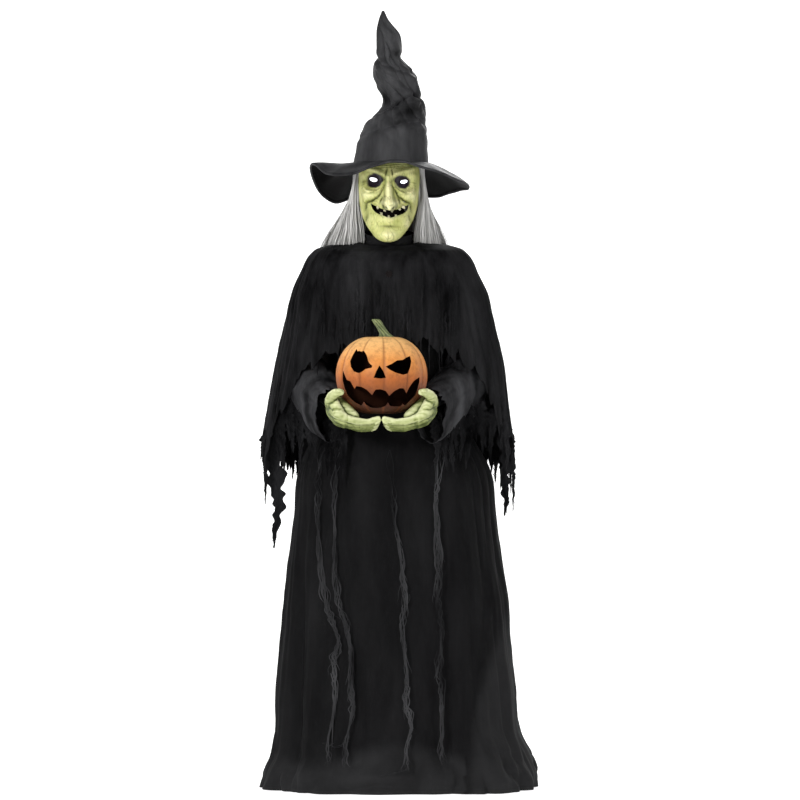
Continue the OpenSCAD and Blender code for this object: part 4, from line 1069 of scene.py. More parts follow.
def robe(material):
    rows, columns = 160, 310
    top = ROBE[-1][0]
    t = np.linspace(0, 1, rows)
    z = top * (1 - t + 0.08 * np.sin(2 * math.pi * t))  # closer rows at the collar and the hem
    zz, aa = crossed(z, full_turn(columns) - math.pi / 2)
    turn = (aa + math.pi / 2 + math.pi) % (2 * math.pi) - math.pi  # 0 at the front
    p = oval(ROBE, aa, zz)
    # the front of the skirt hangs almost flat between its side folds
    loose = straight(ROBE_LOOSE, zz)
    fold = hanging_folds(aa, zz, 2.0, 2.0, 0.9) + 0.35 * hanging_folds(aa, zz, 5.0, 4.5, 1.3)
    out = loose * (fold * (1 - 0.35 * hill(turn, 0, 0.6)) - 0.2)
    # one wide panel swings out on the right, from the hip to the hem
    panel_edge = np.interp(zz, [0.05, 0.55], [0.42, 0.98])
    swing = ramp(turn, panel_edge, panel_edge + 0.1) * (1 - ramp(turn, 1.5, 1.9)) * (1 - ramp(zz, 0.42, 0.62))
    out += 0.01 * swing
    # broken folds where the hem meets the floor
    low_z = hill(zz, 0, 0.085)
    out += 0.02 * low_z * (creases(around(aa, 3.4, zz * 13), 1.0, 6.0) - 0.45)
    out += 0.016 * bump(turn, zz, 0.66, 0.06, 0.13, 0.055)
    p += around(aa, out, 0)
    p[..., 2] += 0.006 * lumps(p * (1, 1, 0), 9, 2.0) * ramp(zz, 0.0, 0.03) * low_z
    p += around(aa, 0.0016 * lumps(p, 26, 1.0), 0)
    # the skirt rests on its hoop
    low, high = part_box("skirt_hoop")
    hoop, reach = (low + high) / 2, (high.x - low.x) / 2 + 0.008
    off = p[..., :2] - (hoop.x, hoop.y)
    away = np.linalg.norm(off, axis=-1)
    stretch = np.maximum(away, reach - 0.7 * np.abs(zz - hoop.z)) / away
    p[..., :2] = (hoop.x, hoop.y) + off * stretch[..., None]
    # the collar stands highest at the nape and dips below the chin
    p[..., 2] -= 0.022 * ramp(zz, 1.262, top) * hill(turn, 0, 1.7)
    p[..., 2] = np.maximum(p[..., 2], 0.0)
    # painted light: light catches the side panel and the band that spreads over the floor
    x, facing = p[..., 0], p[..., 1] < 0.06
    seam = np.interp(zz, [0.0, 0.161, 0.268, 0.455], [0.15, 0.163, 0.187, 0.252])
    painted_light = 0.6 * ramp(x, seam - 0.006, seam + 0.03) * (1 - ramp(zz, 0.3, 0.46)) * facing
    band = 0.1 + 0.02 * np.cos(x * 14)
    painted_light += 0.5 * (1 - ramp(zz, band - 0.04, band + 0.008)) * facing * (x < 0.15)
    # painted light over the whole robe as well, stronger above a height of 1 m
    painted_light += 0.12 + 0.2 * ramp(zz, 1.0, 1.2)
    obj = grid_object("robe_cloth", p[::-1], material, closed=True)
    paint(obj, "painted_light", np.clip(painted_light[::-1], 0, 1))
    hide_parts("robe")
    return obj


def ragged(a, seed, size):
    """Torn edge: how far the cloth reaches below its line."""
    spot = around(a, 7, 0)
    teeth_ = np.abs(lumps(spot, 1.0, seed)) + 0.5 * np.abs(lumps(spot * 3.1, 1.0, seed + 2))
    return size * (teeth_ * 1.6 - 0.35)


def cape(material):
    rows, columns = 105, 460
    a = full_turn(columns) - math.pi / 2
    turn = np.degrees(a) + 90  # 0 at the front, growing towards +X
    from_front = np.minimum(turn, 360 - turn)
    hem = straight(CAPE_HEM, from_front)
    hem = hem - ragged(a, 4.0, 0.055) * np.interp(from_front, [0, 30, 70], [0.7, 0.8, 1.0])
    top = CAPE[-1][0]
    zz = top + (hem - top) * np.linspace(0, 1, rows)[:, None]
    aa = np.broadcast_to(a, zz.shape)
    p = oval(CAPE, aa, zz, CAPE_POWER)
    loose = straight(CAPE_LOOSE, zz)
    p += around(aa, loose * (hanging_folds(aa, zz, 12.0, 4.6, 1.6) * 0.9 - 0.3), 0)
    p += around(aa, 0.0012 * lumps(p, 34, 3.0), 0)
    # the neckline dips in front, which leaves room for the chin
    p[..., 2] -= 0.016 * ramp(zz, 1.255, top) * hill(from_front, 0, 72)
    return grid_object("cape_cloth", p, material, closed=True)


def sleeve(name, s, material):
    """Bent sleeve over the arm, wide and slack at the forearm."""
    side, end = ("left", 0) if s < 0 else ("right", 1)
    elbow = Vector((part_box("upper_arm_" + side)[end].x - s * 0.008, 0.07, 0.95))
    shoulder = Vector((NECK.x + s * 0.172, NECK.y, 1.2))
    wrist = Vector((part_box("hand_" + side)[end].x - s * 0.03, -0.12, 0.893))
    rows, columns = 120, 96
    t = np.linspace(0, 1, rows)
    # curve that bends sharply at the elbow
    corners = np.array([elbow.lerp(shoulder, 0.8), elbow + Vector((s * 0.004, 0.006, 0.0)), wrist])
    weights = np.stack([(1 - t) ** 2, 1.55 * 2 * t * (1 - t), t**2], -1)
    path = weights @ corners / weights.sum(-1, keepdims=True)
    radius = np.interp(t, [0, 0.25, 0.5, 0.75, 0.92, 1.0], [0.046, 0.05, 0.055, 0.056, 0.05, 0.044])
    ring = tube_points(path, radius, columns)
    tt, aa = crossed(t, full_turn(columns))
    away = ring - path[:, None]
    unit = away / (np.linalg.norm(away, axis=-1, keepdims=True) + 1e-9)
    # slack hangs below the forearm
    slack = np.interp(tt, [0, 0.35, 0.7, 1.0], [0.0, 0.012, 0.04, 0.046])
    ring[..., 2] -= slack * np.clip(-unit[..., 2], 0, 1) ** 1.5
    cloth = around(aa, 1.5, tt * 5.5)
    fold = creases(cloth, 1.0, 21.0 + s) - 0.5 + 0.8 * lumps(cloth * 0.8, 1.0, 31.0 + s)
    ring += unit * (0.0085 * fold * (0.6 + 0.9 * hill(tt, 0.5, 0.18)))[..., None]
    # torn cuff
    tear = 0.02 * np.abs(lumps(around(aa, 4, 0), 1.0, 2.0)) * ramp(tt, 0.9, 1.0)
    ring += np.array((wrist - elbow).normalized()) * tear[..., None]
    obj = grid_object(name, ring, material, closed=True)
    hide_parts("sleeve_" + side)
    return obj


# ------------------------------------------------------------------ torn gauze

# x and z down the front of the skirt: four long strips, and two short ones across their ends
STRIP_ROUTES = [
    [
        *((-0.18, 0.8), (-0.19, 0.7), (-0.19, 0.586), (-0.176, 0.453), (-0.157, 0.394)),
        *((-0.142, 0.348), (-0.156, 0.3), (-0.15, 0.229), (-0.164, 0.114), (-0.166, 0.061)),
    ],
    [
        *((-0.14, 0.82), (-0.15, 0.7), (-0.152, 0.586), (-0.147, 0.462), (-0.126, 0.385)),
        *((-0.114, 0.323), (-0.114, 0.229), (-0.112, 0.18), (-0.126, 0.114), (-0.124, 0.061)),
    ],
    [
        *((-0.02, 0.79), (-0.016, 0.657), (0.002, 0.547), (0.012, 0.462), (0.007, 0.376)),
        *((0.016, 0.275), (0.016, 0.205), (0.027, 0.156), (0.016, 0.1), (0.018, 0.052)),
    ],
    [
        *((0.092, 0.86), (0.089, 0.728), (0.084, 0.666), (0.089, 0.547), (0.089, 0.442)),
        *((0.096, 0.371), (0.091, 0.275), (0.096, 0.205), (0.096, 0.11), (0.098, 0.065)),
    ],
    [(-0.17, 0.117), (-0.15, 0.104), (-0.122, 0.12)],
    [(0.02, 0.06), (-0.01, 0.05), (-0.052, 0.044)],
]
# the two longest torn ends, outside the skirt on the left and on the right
LONG_LEFT = [
    *((-0.278, 0.05, 0.88), (-0.294, 0.05, 0.79), (-0.294, 0.048, 0.715)),
    *((-0.287, 0.046, 0.665), (-0.295, 0.046, 0.61), (-0.299, 0.046, 0.556)),
]
LONG_RIGHT = [
    *((0.24, 0.05, 0.88), (0.252, 0.05, 0.78), (0.246, 0.05, 0.72)),
    *((0.252, 0.05, 0.67), (0.247, 0.05, 0.632)),
]


def along_path(path, fewest, pitch):
    """Shares of the length of a path, and smooth points about one pitch apart."""
    path = np.asarray(path, float)
    steps = max(fewest, int(np.linalg.norm(np.diff(path, axis=0), axis=1).sum() / pitch))
    t = np.linspace(0, 1, steps)
    return t, np.stack(through(np.column_stack([np.linspace(0, 1, len(path)), path]), t), -1)


def tongue(bundle, path, width, seed):
    """One flat torn strip with ragged edges that ends in a point."""
    t, line = along_path(path, 14, 0.005)
    u = np.linspace(-1, 1, 7)
    edge = np.stack(np.broadcast_arrays(t * 16, seed * 2.3, 0), -1)
    taper = width / 2 * ((1 - t**1.6) * 0.92 + 0.08) * np.interp(t, [0, 0.18, 1], [0.3, 1, 1])
    left = taper * (0.85 + 0.75 * lumps(edge, 1.0))
    right = taper * (0.85 + 0.75 * lumps(edge, 1.0, 5.0))
    t = t[:, None]
    curl = lumps(np.stack(np.broadcast_arrays(t * 7, u * 0.8, seed * 1.7), -1), 1.0)
    p = np.repeat(line[:, None], len(u), axis=1)
    p[..., 0] += u * np.where(u < 0, left[:, None], right[:, None])
    p[..., 1] += 0.007 * curl * (1 - 0.5 * t)
    bundle.add(p)


def shred(bundle, path, width, threads, seed, fray=1.0):
    """One torn gauze strip: a bunch of thin ribbons that cross, split and join along a path."""
    rng = random.Random(seed)
    t, line = along_path(path, 24, 0.006)
    for k in range(threads):
        start = 0.0 if k < 2 else rng.random() * 0.9
        stop = 1.0 if k < 2 else min(1.0, start + rng.uniform(0.08, 0.45))
        part = (t >= start) & (t <= stop)
        if part.sum() < 5:
            continue
        at, tk = line[part], t[part]
        share = (tk - start) / (stop - start)
        phase, turns = rng.uniform(0, 6.28), rng.uniform(3, 9)
        offset = 0.45 * np.sin(tk * turns * 6.28 + phase) + rng.uniform(-0.45, 0.45)
        # some threads hang loose from the strip at their end
        loose_end = rng.choice((-1, 1)) * rng.uniform(0.0, 1.4) * share**3 * (k > 2)
        wobble = lumps(np.stack(np.broadcast_arrays(tk * 26, k * 3.7, seed * 1.9), -1), 1.0)
        x = at[:, 0] + width(tk) / 2 * (offset + loose_end + fray * wobble)
        y = at[:, 1] - 0.001 * (k % 4) - 0.0015 * np.abs(wobble)
        body = np.interp(share, [0, 0.15, 0.8, 1], [0.4, 1, 1, 0.1])
        ribbon = rng.uniform(0.0005, 0.0018) * body * (0.75 + 0.6 * np.abs(wobble))
        spine = np.stack([x, y, at[:, 2] + 0.002 * wobble], -1)
        side = np.stack([ribbon, 0.4 * ribbon * np.sin(phase + tk * 20), 0 * ribbon], -1)
        bundle.add(np.stack([spine - side, spine + side], 1))


def front_strips(material):
    """Long frayed strips down the front of the skirt, and two short ones across their ends."""
    bundle = Bundle()
    for k, route in enumerate(STRIP_ROUTES):
        path = [(x, front_of(ROBE, x, z) - 0.01, z) for x, z in route]
        threads = 34 if k < 4 else 8
        shred(bundle, path, lambda t: 0.012 + 0.006 * (1 - t) + 0.005 * np.sin(t * 21), threads, 40 + k)
    return bundle.build("skirt_strips", material)


def side_tatters(material):
    """Torn ends that hang below the sleeves and the cape."""
    bundle = Bundle()
    rng = random.Random(9)
    steps = (0, 0.3, 0.6, 1.0)
    for path, wide, seed in ((LONG_LEFT, 0.052, 71), (LONG_RIGHT, 0.04, 72)):
        tongue(bundle, path, wide, seed)
        shred(bundle, path, lambda t: 0.026 * (1 - 0.6 * t), 14, seed, 0.4)
    for s in (-1, 1):
        for k in range(15):
            u = k / 14
            x0 = (-0.285 + 0.15 * u) if s < 0 else (0.25 - 0.165 * u)
            z0 = 0.905 - 0.03 * u + rng.uniform(-0.02, 0.02)
            drop = rng.uniform(0.08, 0.22) * (1 - 0.2 * u)
            y0 = -0.1 * u
            y1 = min(y0, front_of(ROBE, x0 * 0.9, z0 - drop) - 0.014)
            path = [(x0 + rng.uniform(-0.004, 0.004), y0 + (y1 - y0) * v, z0 - drop * v) for v in steps]
            seed = 100 + k + 20 * s
            tongue(bundle, path, rng.uniform(0.012, 0.034), seed)
            shred(bundle, path, lambda t: 0.024 * (1 - 0.5 * t), 5, seed, 0.5)
    # the cape's torn hem round the back
    for k in range(40):
        a = math.radians(-8 + 196 * k / 39)
        z0 = 0.815 + rng.uniform(-0.02, 0.03)
        x, y, _ = oval(CAPE, np.array([a]), np.array([z0]))[0]
        drop = rng.uniform(0.05, 0.16)
        path = [(x + rng.uniform(-0.003, 0.003), y, z0 - drop * v) for v in steps]
        tongue(bundle, path, rng.uniform(0.012, 0.03), 200 + k)
        shred(bundle, path, lambda t: 0.02 * (1 - 0.5 * t), 4, 200 + k, 0.5)
    return bundle.build("torn_ends", material)


def chest_streaks(material):
    """Loose gauze threads over the chest."""
    bundle = Bundle()
    rng = random.Random(3)
    for k in range(60):
        x = NECK.x + 0.175 * rng.uniform(-1, 1)
        top = rng.uniform(1.09, 1.225)
        low = max(0.96, top - rng.uniform(0.05, 0.2))
        path = []
        for z in (top + (low - top) * v for v in (0, 0.35, 0.7, 1.0)):
            y = front_of(CAPE, x, max(z, 1.08), CAPE_POWER, 0.97) - 0.003
            path.append((x + rng.uniform(-0.002, 0.002), y, z))
        shred(bundle, path, lambda t: 0.006 * (1 - 0.5 * t), 3, 300 + k, 0.25)
    return bundle.build("chest_gauze", material)


# ------------------------------------------------------------------ hands

# Chains of joints: x outwards from the middle of the pumpkin, y, z and radius.
PALM = [
    # wrist and back of the hand
    [
        *((0.112, -0.126, 0.893, 0.016), (0.111, -0.155, 0.888, 0.0185)),
        *((0.107, -0.185, 0.88, 0.0205), (0.098, -0.205, 0.868, 0.019)),
    ],
    # heel of the palm and the web up to the thumb
    [(0.108, -0.175, 0.886, 0.018), (0.108, -0.205, 0.884, 0.017), (0.104, -0.228, 0.882, 0.0135)],
    [(0.114, -0.212, 0.906, 0.013), (0.107, -0.234, 0.896, 0.012), (0.096, -0.238, 0.88, 0.011)],
    [(0.1, -0.185, 0.898, 0.018), (0.088, -0.212, 0.886, 0.019), (0.066, -0.226, 0.868, 0.015)],
]
THUMB = [
    (0.108, -0.172, 0.888, 0.0175),
    (0.114, -0.2, 0.895, 0.016),
    (0.117, -0.226, 0.906, 0.014),
    (0.113, -0.244, 0.917, 0.0115),
    (0.104, -0.254, 0.9235, 0.01),
    (0.092, -0.258, 0.925, 0.0072),
]


def limb(bundle, joints):
    """Rounded segment chain through joints of (x, y, z, r)."""
    keys = np.linspace(0, 1, len(joints))
    x, y, z, r = through(np.column_stack([keys, joints]), np.linspace(0, 1, 8 * len(joints)))
    path = np.stack([x, y, z], -1)
    first, last = path[0] - path[1], path[-1] - path[-2]
    first, last = first / np.linalg.norm(first), last / np.linalg.norm(last)
    caps = np.array([0.95, 0.75, 0.45])
    rim = np.sqrt(1 - caps**2)
    start = path[0] + first * (r[0] * caps)[:, None]
    end = path[-1] + last * (r[-1] * caps[::-1])[:, None]
    radii = np.concatenate([r[0] * rim, r, r[-1] * rim[::-1]])
    bundle.add(tube_points(np.concatenate([start, path, end]), radii, 18), closed=True, capped=True)


def hand(name, s, material, nail_material):
    """Moulded hand, palm up, with its fingers under the pumpkin."""
    cx = PUMPKIN.x
    bundle, nails = Bundle(), Bundle()

    def placed(joints):
        joints = np.array(joints, float)
        joints[:, 0] = cx + s * joints[:, 0]
        return joints

    def nail(points, radii):
        nails.add(tube_points(placed(points), radii, 10, 0.4), closed=True, capped=True)

    for chain in PALM:
        limb(bundle, placed(chain))
    for k, drop in enumerate((-0.001, 0.0065, 0.012, 0.015)):
        y, tip = -0.242 + 0.0215 * k, 0.0075 + 0.003 * k
        knuckle = [
            (0.11, -0.175 + 0.006 * k, 0.884, 0.0145),
            (0.103, y + 0.008, 0.876 - drop, 0.0125),
            (0.086, y, 0.8665 - drop, 0.0108),
        ]
        finger = [
            (0.09, y, 0.8685 - drop, 0.0096),
            (0.068, y - 0.001, 0.86 - drop, 0.0078),
            (0.052, y, 0.8565 - drop, 0.0086),
            (0.034, y + 0.001, 0.8555 - drop, 0.0072),
            (0.022, y + 0.002, 0.8575 - drop, 0.0077),
            (tip, y + 0.003, 0.8625 - drop, 0.0066),
        ]
        limb(bundle, placed(knuckle))
        limb(bundle, placed(finger))
        ends = [(tip + 0.008, y - 0.001, 0.8515), (tip - 0.001, y, 0.8555), (tip - 0.006, y + 0.001, 0.862)]
        nail(np.array(ends) - (0, 0, drop), (0.0032, 0.004, 0.0024))
    limb(bundle, placed(THUMB))
    nail([(0.106, -0.2635, 0.928), (0.097, -0.265, 0.929), (0.088, -0.263, 0.9285)], (0.0038, 0.0048, 0.0028))
    obj = bundle.build(name, material)
    remesh = obj.modifiers.new("merge", "REMESH")
    remesh.mode = "VOXEL"
    remesh.voxel_size = 0.0016
    obj.modifiers.new("soften", "SMOOTH").iterations = 6
    apply_modifiers(obj)
    obj.data.shade_smooth()
    co, normal = read(obj, "co"), read(obj, "normal")
    # bones and veins run along the hand, creases go across it
    along = np.abs(lumps(co * (0.25, 1, 1.3), 60, 3.0))
    co += normal * (0.0008 * (np.clip(along * 3, 0, 1) - 0.5) + 0.0004 * lumps(co, 150, 7.0))[:, None]
    reach = (co[:, 0] - cx) * s
    rings = sum(hill(reach, joint, 0.0013) for joint in (0.0505, 0.0225, 0.078)) * (co[:, 2] < 0.88)
    rings *= np.clip(3 * lumps(co, 60, 2.0) + 0.5, 0, 1)
    co -= normal * (0.0005 * rings)[:, None]
    # the hand stays clear of the pumpkin
    centre = np.array(PUMPKIN)
    room = np.array(PUMPKIN_SIZE) / 2 + 0.0015
    v = (co - centre) / room
    near = np.linalg.norm(v, axis=1, keepdims=True)
    co = np.where(near < 1.0, centre + v / near * room, co)
    obj.data.vertices.foreach_set("co", co.astype(np.float32).ravel())
    obj.data.update()
    # lines and painted shade are olive, in the hollows, on the undersides and towards the back; a painted highlight
    # makes the tops towards the front pale
    dip, up, y = cavity(obj, 6), read(obj, "normal")[:, 2], co[:, 1]
    lines = 1.35 * dip + 0.1 * (1 - ramp(along, 0.0, 0.12)) + 0.04 * rings
    shade = 0.7 * np.clip(-up, 0, 1) + 0.65 * ramp(y, -0.236, -0.212)
    paint(obj, "crease", np.clip(lines + shade, 0, 0.85))
    light = np.clip(1.1 * np.clip(up, 0, 1) - 0.5 * dip, 0, 1)
    paint(obj, "painted_highlight", light * (1 - ramp(y, -0.24, -0.22)))
    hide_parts("hand_left" if s < 0 else "hand_right")
    return obj, nails.build(name + "_nails", nail_material)


# ------------------------------------------------------------------ pumpkin

LOBES = 11
# outlines of the carved face in millimetres from the pumpkin's centre
EYE_ROUND = [
    *((-60, 63), (-57, 57), (-52, 58), (-48, 56), (-42, 58), (-36, 50), (-33, 42), (-31, 33), (-27, 27), (-21, 22)),
    *((-23, 17), (-31, 16), (-38, 14), (-46, 8), (-54, 5), (-66, 9), (-73, 20), (-75, 34), (-69, 48)),
]
EYE_SLY = [
    *((10, 20), (25, 27), (38, 35), (51, 36), (60, 42), (69, 46)),
    *((72, 33), (69, 18), (63, 4), (52, 1), (34, 6), (20, 13)),
]
NOSE = [(-4, 23), (5, 9), (11, -6), (-1, -8), (-18, -6), (-12, 9)]
MOUTH_TOP = [
    *((-89, 13), (-79, -9), (-71, -11), (-61, -28), (-57, -21), (-45, -22), (-33, -28), (-21, -40), (-13, -27)),
    *((-2, -26), (10, -30), (18, -42), (28, -32), (41, -25), (51, -26), (57, -38), (65, -23), (74, -11), (88, -3)),
]
MOUTH_LOW = [
    *((88, -13), (84, -30), (78, -46), (62, -61), (55, -68), (49, -63), (44, -69), (29, -68), (20, -66), (15, -58)),
    *((10, -66), (-4, -71), (-23, -71), (-35, -64), (-40, -57), (-46, -67), (-62, -60), (-76, -48), (-85, -30)),
    (-90, -11),
]


def groove_at(lon):
    """1 at the bottom of a groove between two lobes, 0 on a lobe's crest."""
    return 1 - np.abs(np.cos(LOBES / 2 * lon + 0.4)) ** 0.55


def carve(obj, outlines, centre, material):
    """Cuts outlines of (x, z) through the front wall of the pumpkin."""
    cutters = []
    for k, outline in enumerate(outlines):
        m = len(outline)
        front = np.insert(outline, 1, -0.16, axis=1)
        rear = np.insert(outline * (0.93, 0.95), 1, -0.015, axis=1)
        faces = [[i, (i + 1) % m, m + (i + 1) % m, m + i] for i in range(m)]
        faces += [list(range(m))[::-1], list(range(m, 2 * m))]
        cutter = outward(mesh_object(f"cut_{k}", np.concatenate([front, rear]) + centre, faces, material))
        cut = obj.modifiers.new(cutter.name, "BOOLEAN")
        cut.object = cutter
        cut.solver = "EXACT"
        cut.material_mode = "TRANSFER"
        cutters.append(cutter)
    apply_modifiers(obj)
    for cutter in cutters:
        bpy.data.objects.remove(cutter)


def pumpkin(material, inside_material):
    """Hollow ribbed shell with its face cut through the wall."""
    rows, columns = 150, 330
    half_wide, half_high, wall = PUMPKIN_SIZE.x / 2, 0.094, 0.0085
    steepest = math.radians(88.5)
    lat, lon = crossed(np.linspace(-steepest, steepest, rows), full_turn(columns))
    lobe = 1 - 0.052 * groove_at(lon) * (0.35 + 0.65 * np.cos(lat))
    rho = half_wide * 1.012 * np.clip(np.cos(lat), 0, 1) ** 0.82 * lobe
    # both ends are sunk
    z = half_high * np.sin(lat) - np.sign(lat) * 0.0105 * hill(rho, 0, 0.026)
    p = around(lon, rho, z)
    p *= (1 + 0.006 * lumps(p, 16, 2.0) + 0.002 * lumps(p, 60, 5.0))[..., None]
    inner = p * (1 - wall / np.linalg.norm(p, axis=-1, keepdims=True))
    centre = np.array((PUMPKIN.x, PUMPKIN.y, 0.964))
    n = rows * columns
    faces = grid_faces(rows, columns, closed=True)
    faces += [[i + n for i in reversed(f)] for f in faces]
    for first, flip in ((n - columns, 1), (2 * n - columns, -1), (0, -1), (n, 1)):
        faces.append(list(range(first, first + columns))[::flip])
    obj = outward(mesh_object("pumpkin", np.stack([p, inner]) + centre, faces, material))
    obj.data.materials.append(inside_material)
    mouth = np.array(MOUTH_TOP + MOUTH_LOW) * (0.00105, 0.001)
    mouth[:, 1] -= 0.007 * np.clip(1 - (mouth[:, 0] / 0.1) ** 2, 0, 1)
    carve(obj, [*(np.array(eye) / 1000 for eye in (EYE_ROUND, EYE_SLY, NOSE)), mouth], centre, inside_material)
    obj.data.shade_smooth()
    x, y, z = (read(obj, "co") - centre).T
    clear_of_ends = np.clip(1.5 * np.hypot(x, y) / np.sqrt(x * x + y * y + z * z), 0, 1)
    # height, for the colour that runs from peach down to painted shade at the bottom
    paint(obj, "height", np.clip(z / (2 * half_high) + 0.5, 0, 1))
    paint(obj, "groove", np.clip((groove_at(np.arctan2(y, x)) - 0.45) * 1.3, 0, 0.75) * clear_of_ends)
    # the wall's cut edges and the inside are dark
    for poly in obj.data.polygons:
        if poly.material_index == 0 and np.dot(poly.normal, np.array(poly.center) - centre) < 0:
            poly.material_index = 1
    set_sharp(obj, 40)
    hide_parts("pumpkin_shell")
    return obj


def stem(material):
    """Ribbed stem that leans to the left of the view."""
    rows, columns = 60, 90
    t = np.linspace(0, 1, rows)
    base_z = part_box("pumpkin_stem")[0].z - 0.002
    path = np.stack([PUMPKIN.x + 0.012 - 0.026 * t**1.1, np.full(rows, PUMPKIN.y), base_z + 0.043 * t], -1)
    radius = np.interp(t, [0, 0.1, 0.25, 0.6, 0.93, 1.0], [0.02, 0.015, 0.0115, 0.0095, 0.0105, 0.0075])
    a = full_turn(columns)
    rib = np.abs(np.cos(4 * (a + 1.2 * t[:, None])))
    p = path[:, None] + around(a, radius[:, None] * (0.82 + 0.24 * rib), 0)
    p += 0.0006 * lumps(p, 220, 2.0)[..., None]
    ends = [list(range((rows - 1) * columns, rows * columns)), list(range(columns))[::-1]]
    obj = mesh_object("stem", p, grid_faces(rows, columns, closed=True) + ends, material)
    paint(obj, "crease", np.clip(1.1 - 1.5 * rib, 0, 1))
    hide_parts("pumpkin_stem")
    return obj


# ------------------------------------------------------------------ assembly

# material slot: name, dark and light shade, roughness, metallic, grain, coat and specular level
CAD_PAINTS = {
    "steel": ("powder_coat", (0.018, 0.018, 0.02), (0.03, 0.03, 0.033), 0.42, 0, 1400),
    "zinc": ("zinc_plate", (0.5, 0.51, 0.53), (0.66, 0.67, 0.7), 0.32, 1, 500),
    "rubber_black": ("black_rubber", (0.012, 0.012, 0.012), (0.022, 0.022, 0.022), 0.8),
    "plastic_black": ("black_plastic", (0.014, 0.014, 0.015), (0.024, 0.024, 0.026), 0.5, 0, 1600),
    "plastic_grey": ("grey_plastic", (0.2, 0.2, 0.21), (0.27, 0.27, 0.28), 0.5),
    "foam": ("grey_foam", (0.05, 0.05, 0.055), (0.09, 0.09, 0.095), 0.95, 0, 350),
    "board": ("green_board", (0.01, 0.08, 0.03), (0.02, 0.12, 0.05), 0.35, 0, 900, 0.5),
    "cell": ("cell_sleeve", (0.04, 0.05, 0.07), (0.06, 0.07, 0.1), 0.3, 0, 900, 0.4),
    "lead": ("lead_jacket", (0.01, 0.01, 0.01), (0.02, 0.02, 0.02), 0.55),
    "lamp_white": ("lamp_dome", (0.72, 0.7, 0.62), (0.85, 0.84, 0.78), 0.3, 0, 900, 0.4),
    "control_red": ("red_plastic", (0.3, 0.01, 0.01), (0.42, 0.02, 0.02), 0.35),
    "gear_plastic": ("acetal", (0.66, 0.65, 0.58), (0.78, 0.77, 0.7), 0.38),
    "window": ("sensor_window", (0.002, 0.001, 0.001), (0.006, 0.003, 0.003), 0.5, 0, 900, 0, 0.08),
    "lens": ("lens_plastic", (0.7, 0.72, 0.76), (0.85, 0.87, 0.9), 0.2, 0, 900, 0.5),
}


def dress_cad_nodes():
    """Gives each CAD node that still shows a material of its own kind."""
    kinds = {slot: moulded_material(*look) for slot, look in CAD_PAINTS.items()}
    for part in frame["record"]["subparts"]:
        # the jaw frame, which sits in the mouth, is made near black as painted shade; the sensor and the button get
        # the same near-black material
        dark = part["node"] in ("jaw_frame", "motion_sensor", "try_button")
        kind = kinds.get("window" if dark else part["material_slot"])
        node = frame["nodes"][part["node"]]
        if kind and not node.hide_render:
            node.data.materials.clear()
            node.data.materials.append(kind)


def tag(objects, body=None):
    """Gives pieces the body they ride on."""
    for obj in objects:
        if body:
            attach(obj, body)


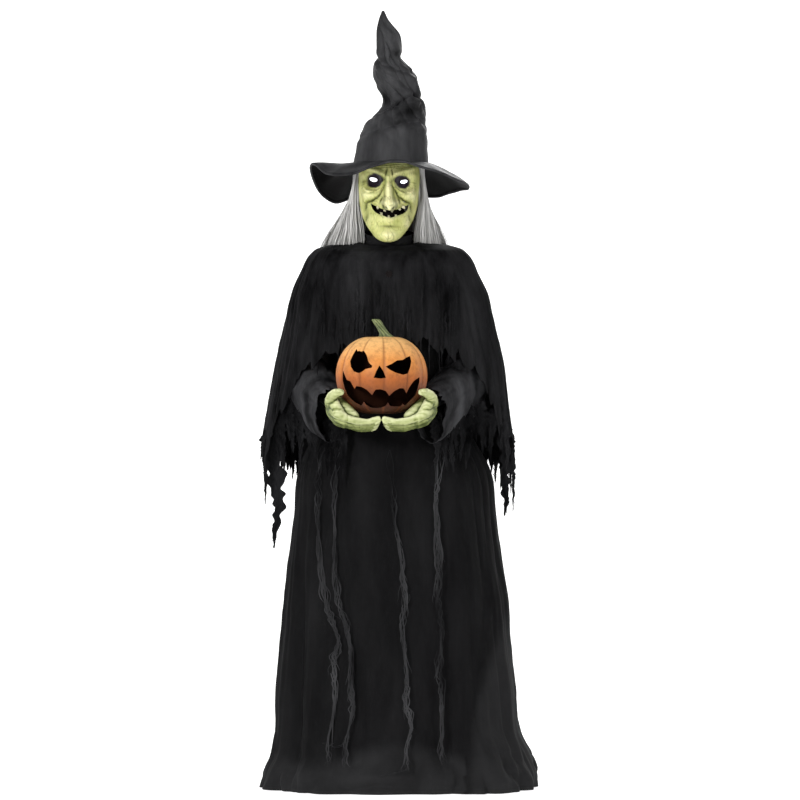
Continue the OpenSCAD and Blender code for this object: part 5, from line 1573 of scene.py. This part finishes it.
def dress_head(latex):
    """Hat, mask, eyes, teeth and wig."""
    felt = cloth_material("charcoal_felt", (0.014, 0.014, 0.015), (0.044, 0.044, 0.046), 0.55, 0.0012, 0.05)
    # painted shade, near black, where the hat's mesh marks it: the crown's hollows and the brim's underside
    tint(felt, attribute(felt, "under"), (0.0008, 0.0008, 0.0008))
    binding = cloth_material("hat_thread", (0.006, 0.006, 0.006), (0.014, 0.014, 0.014))
    # near black: painted shade inside the mouth
    dark_mouth = moulded_material("mouth_black", (0.002, 0.001, 0.001), (0.005, 0.003, 0.003), 0.7, gloss=0.05)
    tooth = moulded_material("tooth_paint", (0.36, 0.34, 0.19), (0.55, 0.52, 0.34), 0.35)
    grey = hair_material()

    def seam(upper):
        return lambda a: level_at(lambda x: mouth_line(x, upper), a)

    crown = hat_crown(felt)
    brim, rolled, stitches = hat_brim(felt, binding)
    upper = face_part("mask_upper", lambda a: 0 * a, seam(True), 190, latex)
    lower = face_part("mask_lower", seam(False), lambda a: 0 * a + HEAD_RINGS[-1][0], 130, latex)
    lip_upper, lip_lower = lip_edge("lip_upper", True, latex), lip_edge("lip_lower", False, latex)
    lining = mouth_lining(dark_mouth)
    teeth_upper, teeth_lower = teeth("teeth_upper", True, tooth), teeth("teeth_lower", False, tooth)
    glow = glow_material()
    eyes = [eyeball("eye_left", -1, glow), eyeball("eye_right", 1, glow)]
    cap, locks = scalp(grey), hair("hair", grey)
    for obj, node in ((upper, "mask_face"), (lower, "mask_chin"), (eyes[0], "eye_lenses"), (locks, "wig")):
        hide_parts(node)
    tag([crown, brim], "head")
    tag([upper, lip_upper], "head")
    tag([lower, lip_lower])
    tag([rolled, stitches, lining, teeth_upper, cap, *eyes], body="head")
    tag([teeth_lower], body="jaw")
    tag([locks])
    for obj in (lower, lip_lower):
        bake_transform(obj)
    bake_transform(locks)


def dress_stand():
    """Garments, hands and the pumpkin."""
    black, dark, lit_colour = (0.001, 0.001, 0.0012), (0.0045, 0.0045, 0.0048), (0.024, 0.024, 0.025)
    # the robe's cloth takes painted light where its mesh marks it
    black_cloth = lit_cloth("robe_weave", black, dark, lit_colour, 0.75)
    # the sleeves' cloth is a lighter copy of the black cloth: its pale streaks are a painted highlight where the
    # sleeves catch the light
    sleeve_cloth = cloth_material("sleeve_weave", (0.004, 0.004, 0.0045), (0.05, 0.05, 0.053), 0.7)
    gauze = cloth_material("gauze_weave", (0.0012, 0.0012, 0.0014), (0.014, 0.014, 0.015), 0.78, 0.0022)
    threads = cloth_material("gauze_threads", (0.007, 0.007, 0.0075), (0.04, 0.04, 0.042), 0.8)
    inside = moulded_material("pumpkin_inside", (0.006, 0.002, 0.001), (0.018, 0.006, 0.003), 0.9, gloss=0.03)
    nail = moulded_material("nail_paint", (0.3, 0.33, 0.14), (0.42, 0.44, 0.22), 0.3)
    skin = hand_material()

    gown, shawl = robe(black_cloth), cape(gauze)
    sleeves = [sleeve("left_sleeve", -1, sleeve_cloth), sleeve("right_sleeve", 1, sleeve_cloth)]
    strips, ends, streaks = front_strips(threads), side_tatters(gauze), chest_streaks(gauze)
    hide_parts("cape")
    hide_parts("cape_strips")
    hands = [*hand("left_hand", -1, skin, nail), *hand("right_hand", 1, skin, nail)]
    for obj in (gown, shawl, *sleeves):
        thicken(obj, CLOTH, 0)
    tag([gown, *sleeves], "stand")
    tag([shawl, strips, ends, streaks], "stand")
    tag(hands, "stand")
    tag([pumpkin(pumpkin_material(), inside)], "stand")
    tag([stem(stem_material())], "stand")


make_camera()
make_studio()
dress_head(face_material())
dress_stand()
dress_cad_nodes()
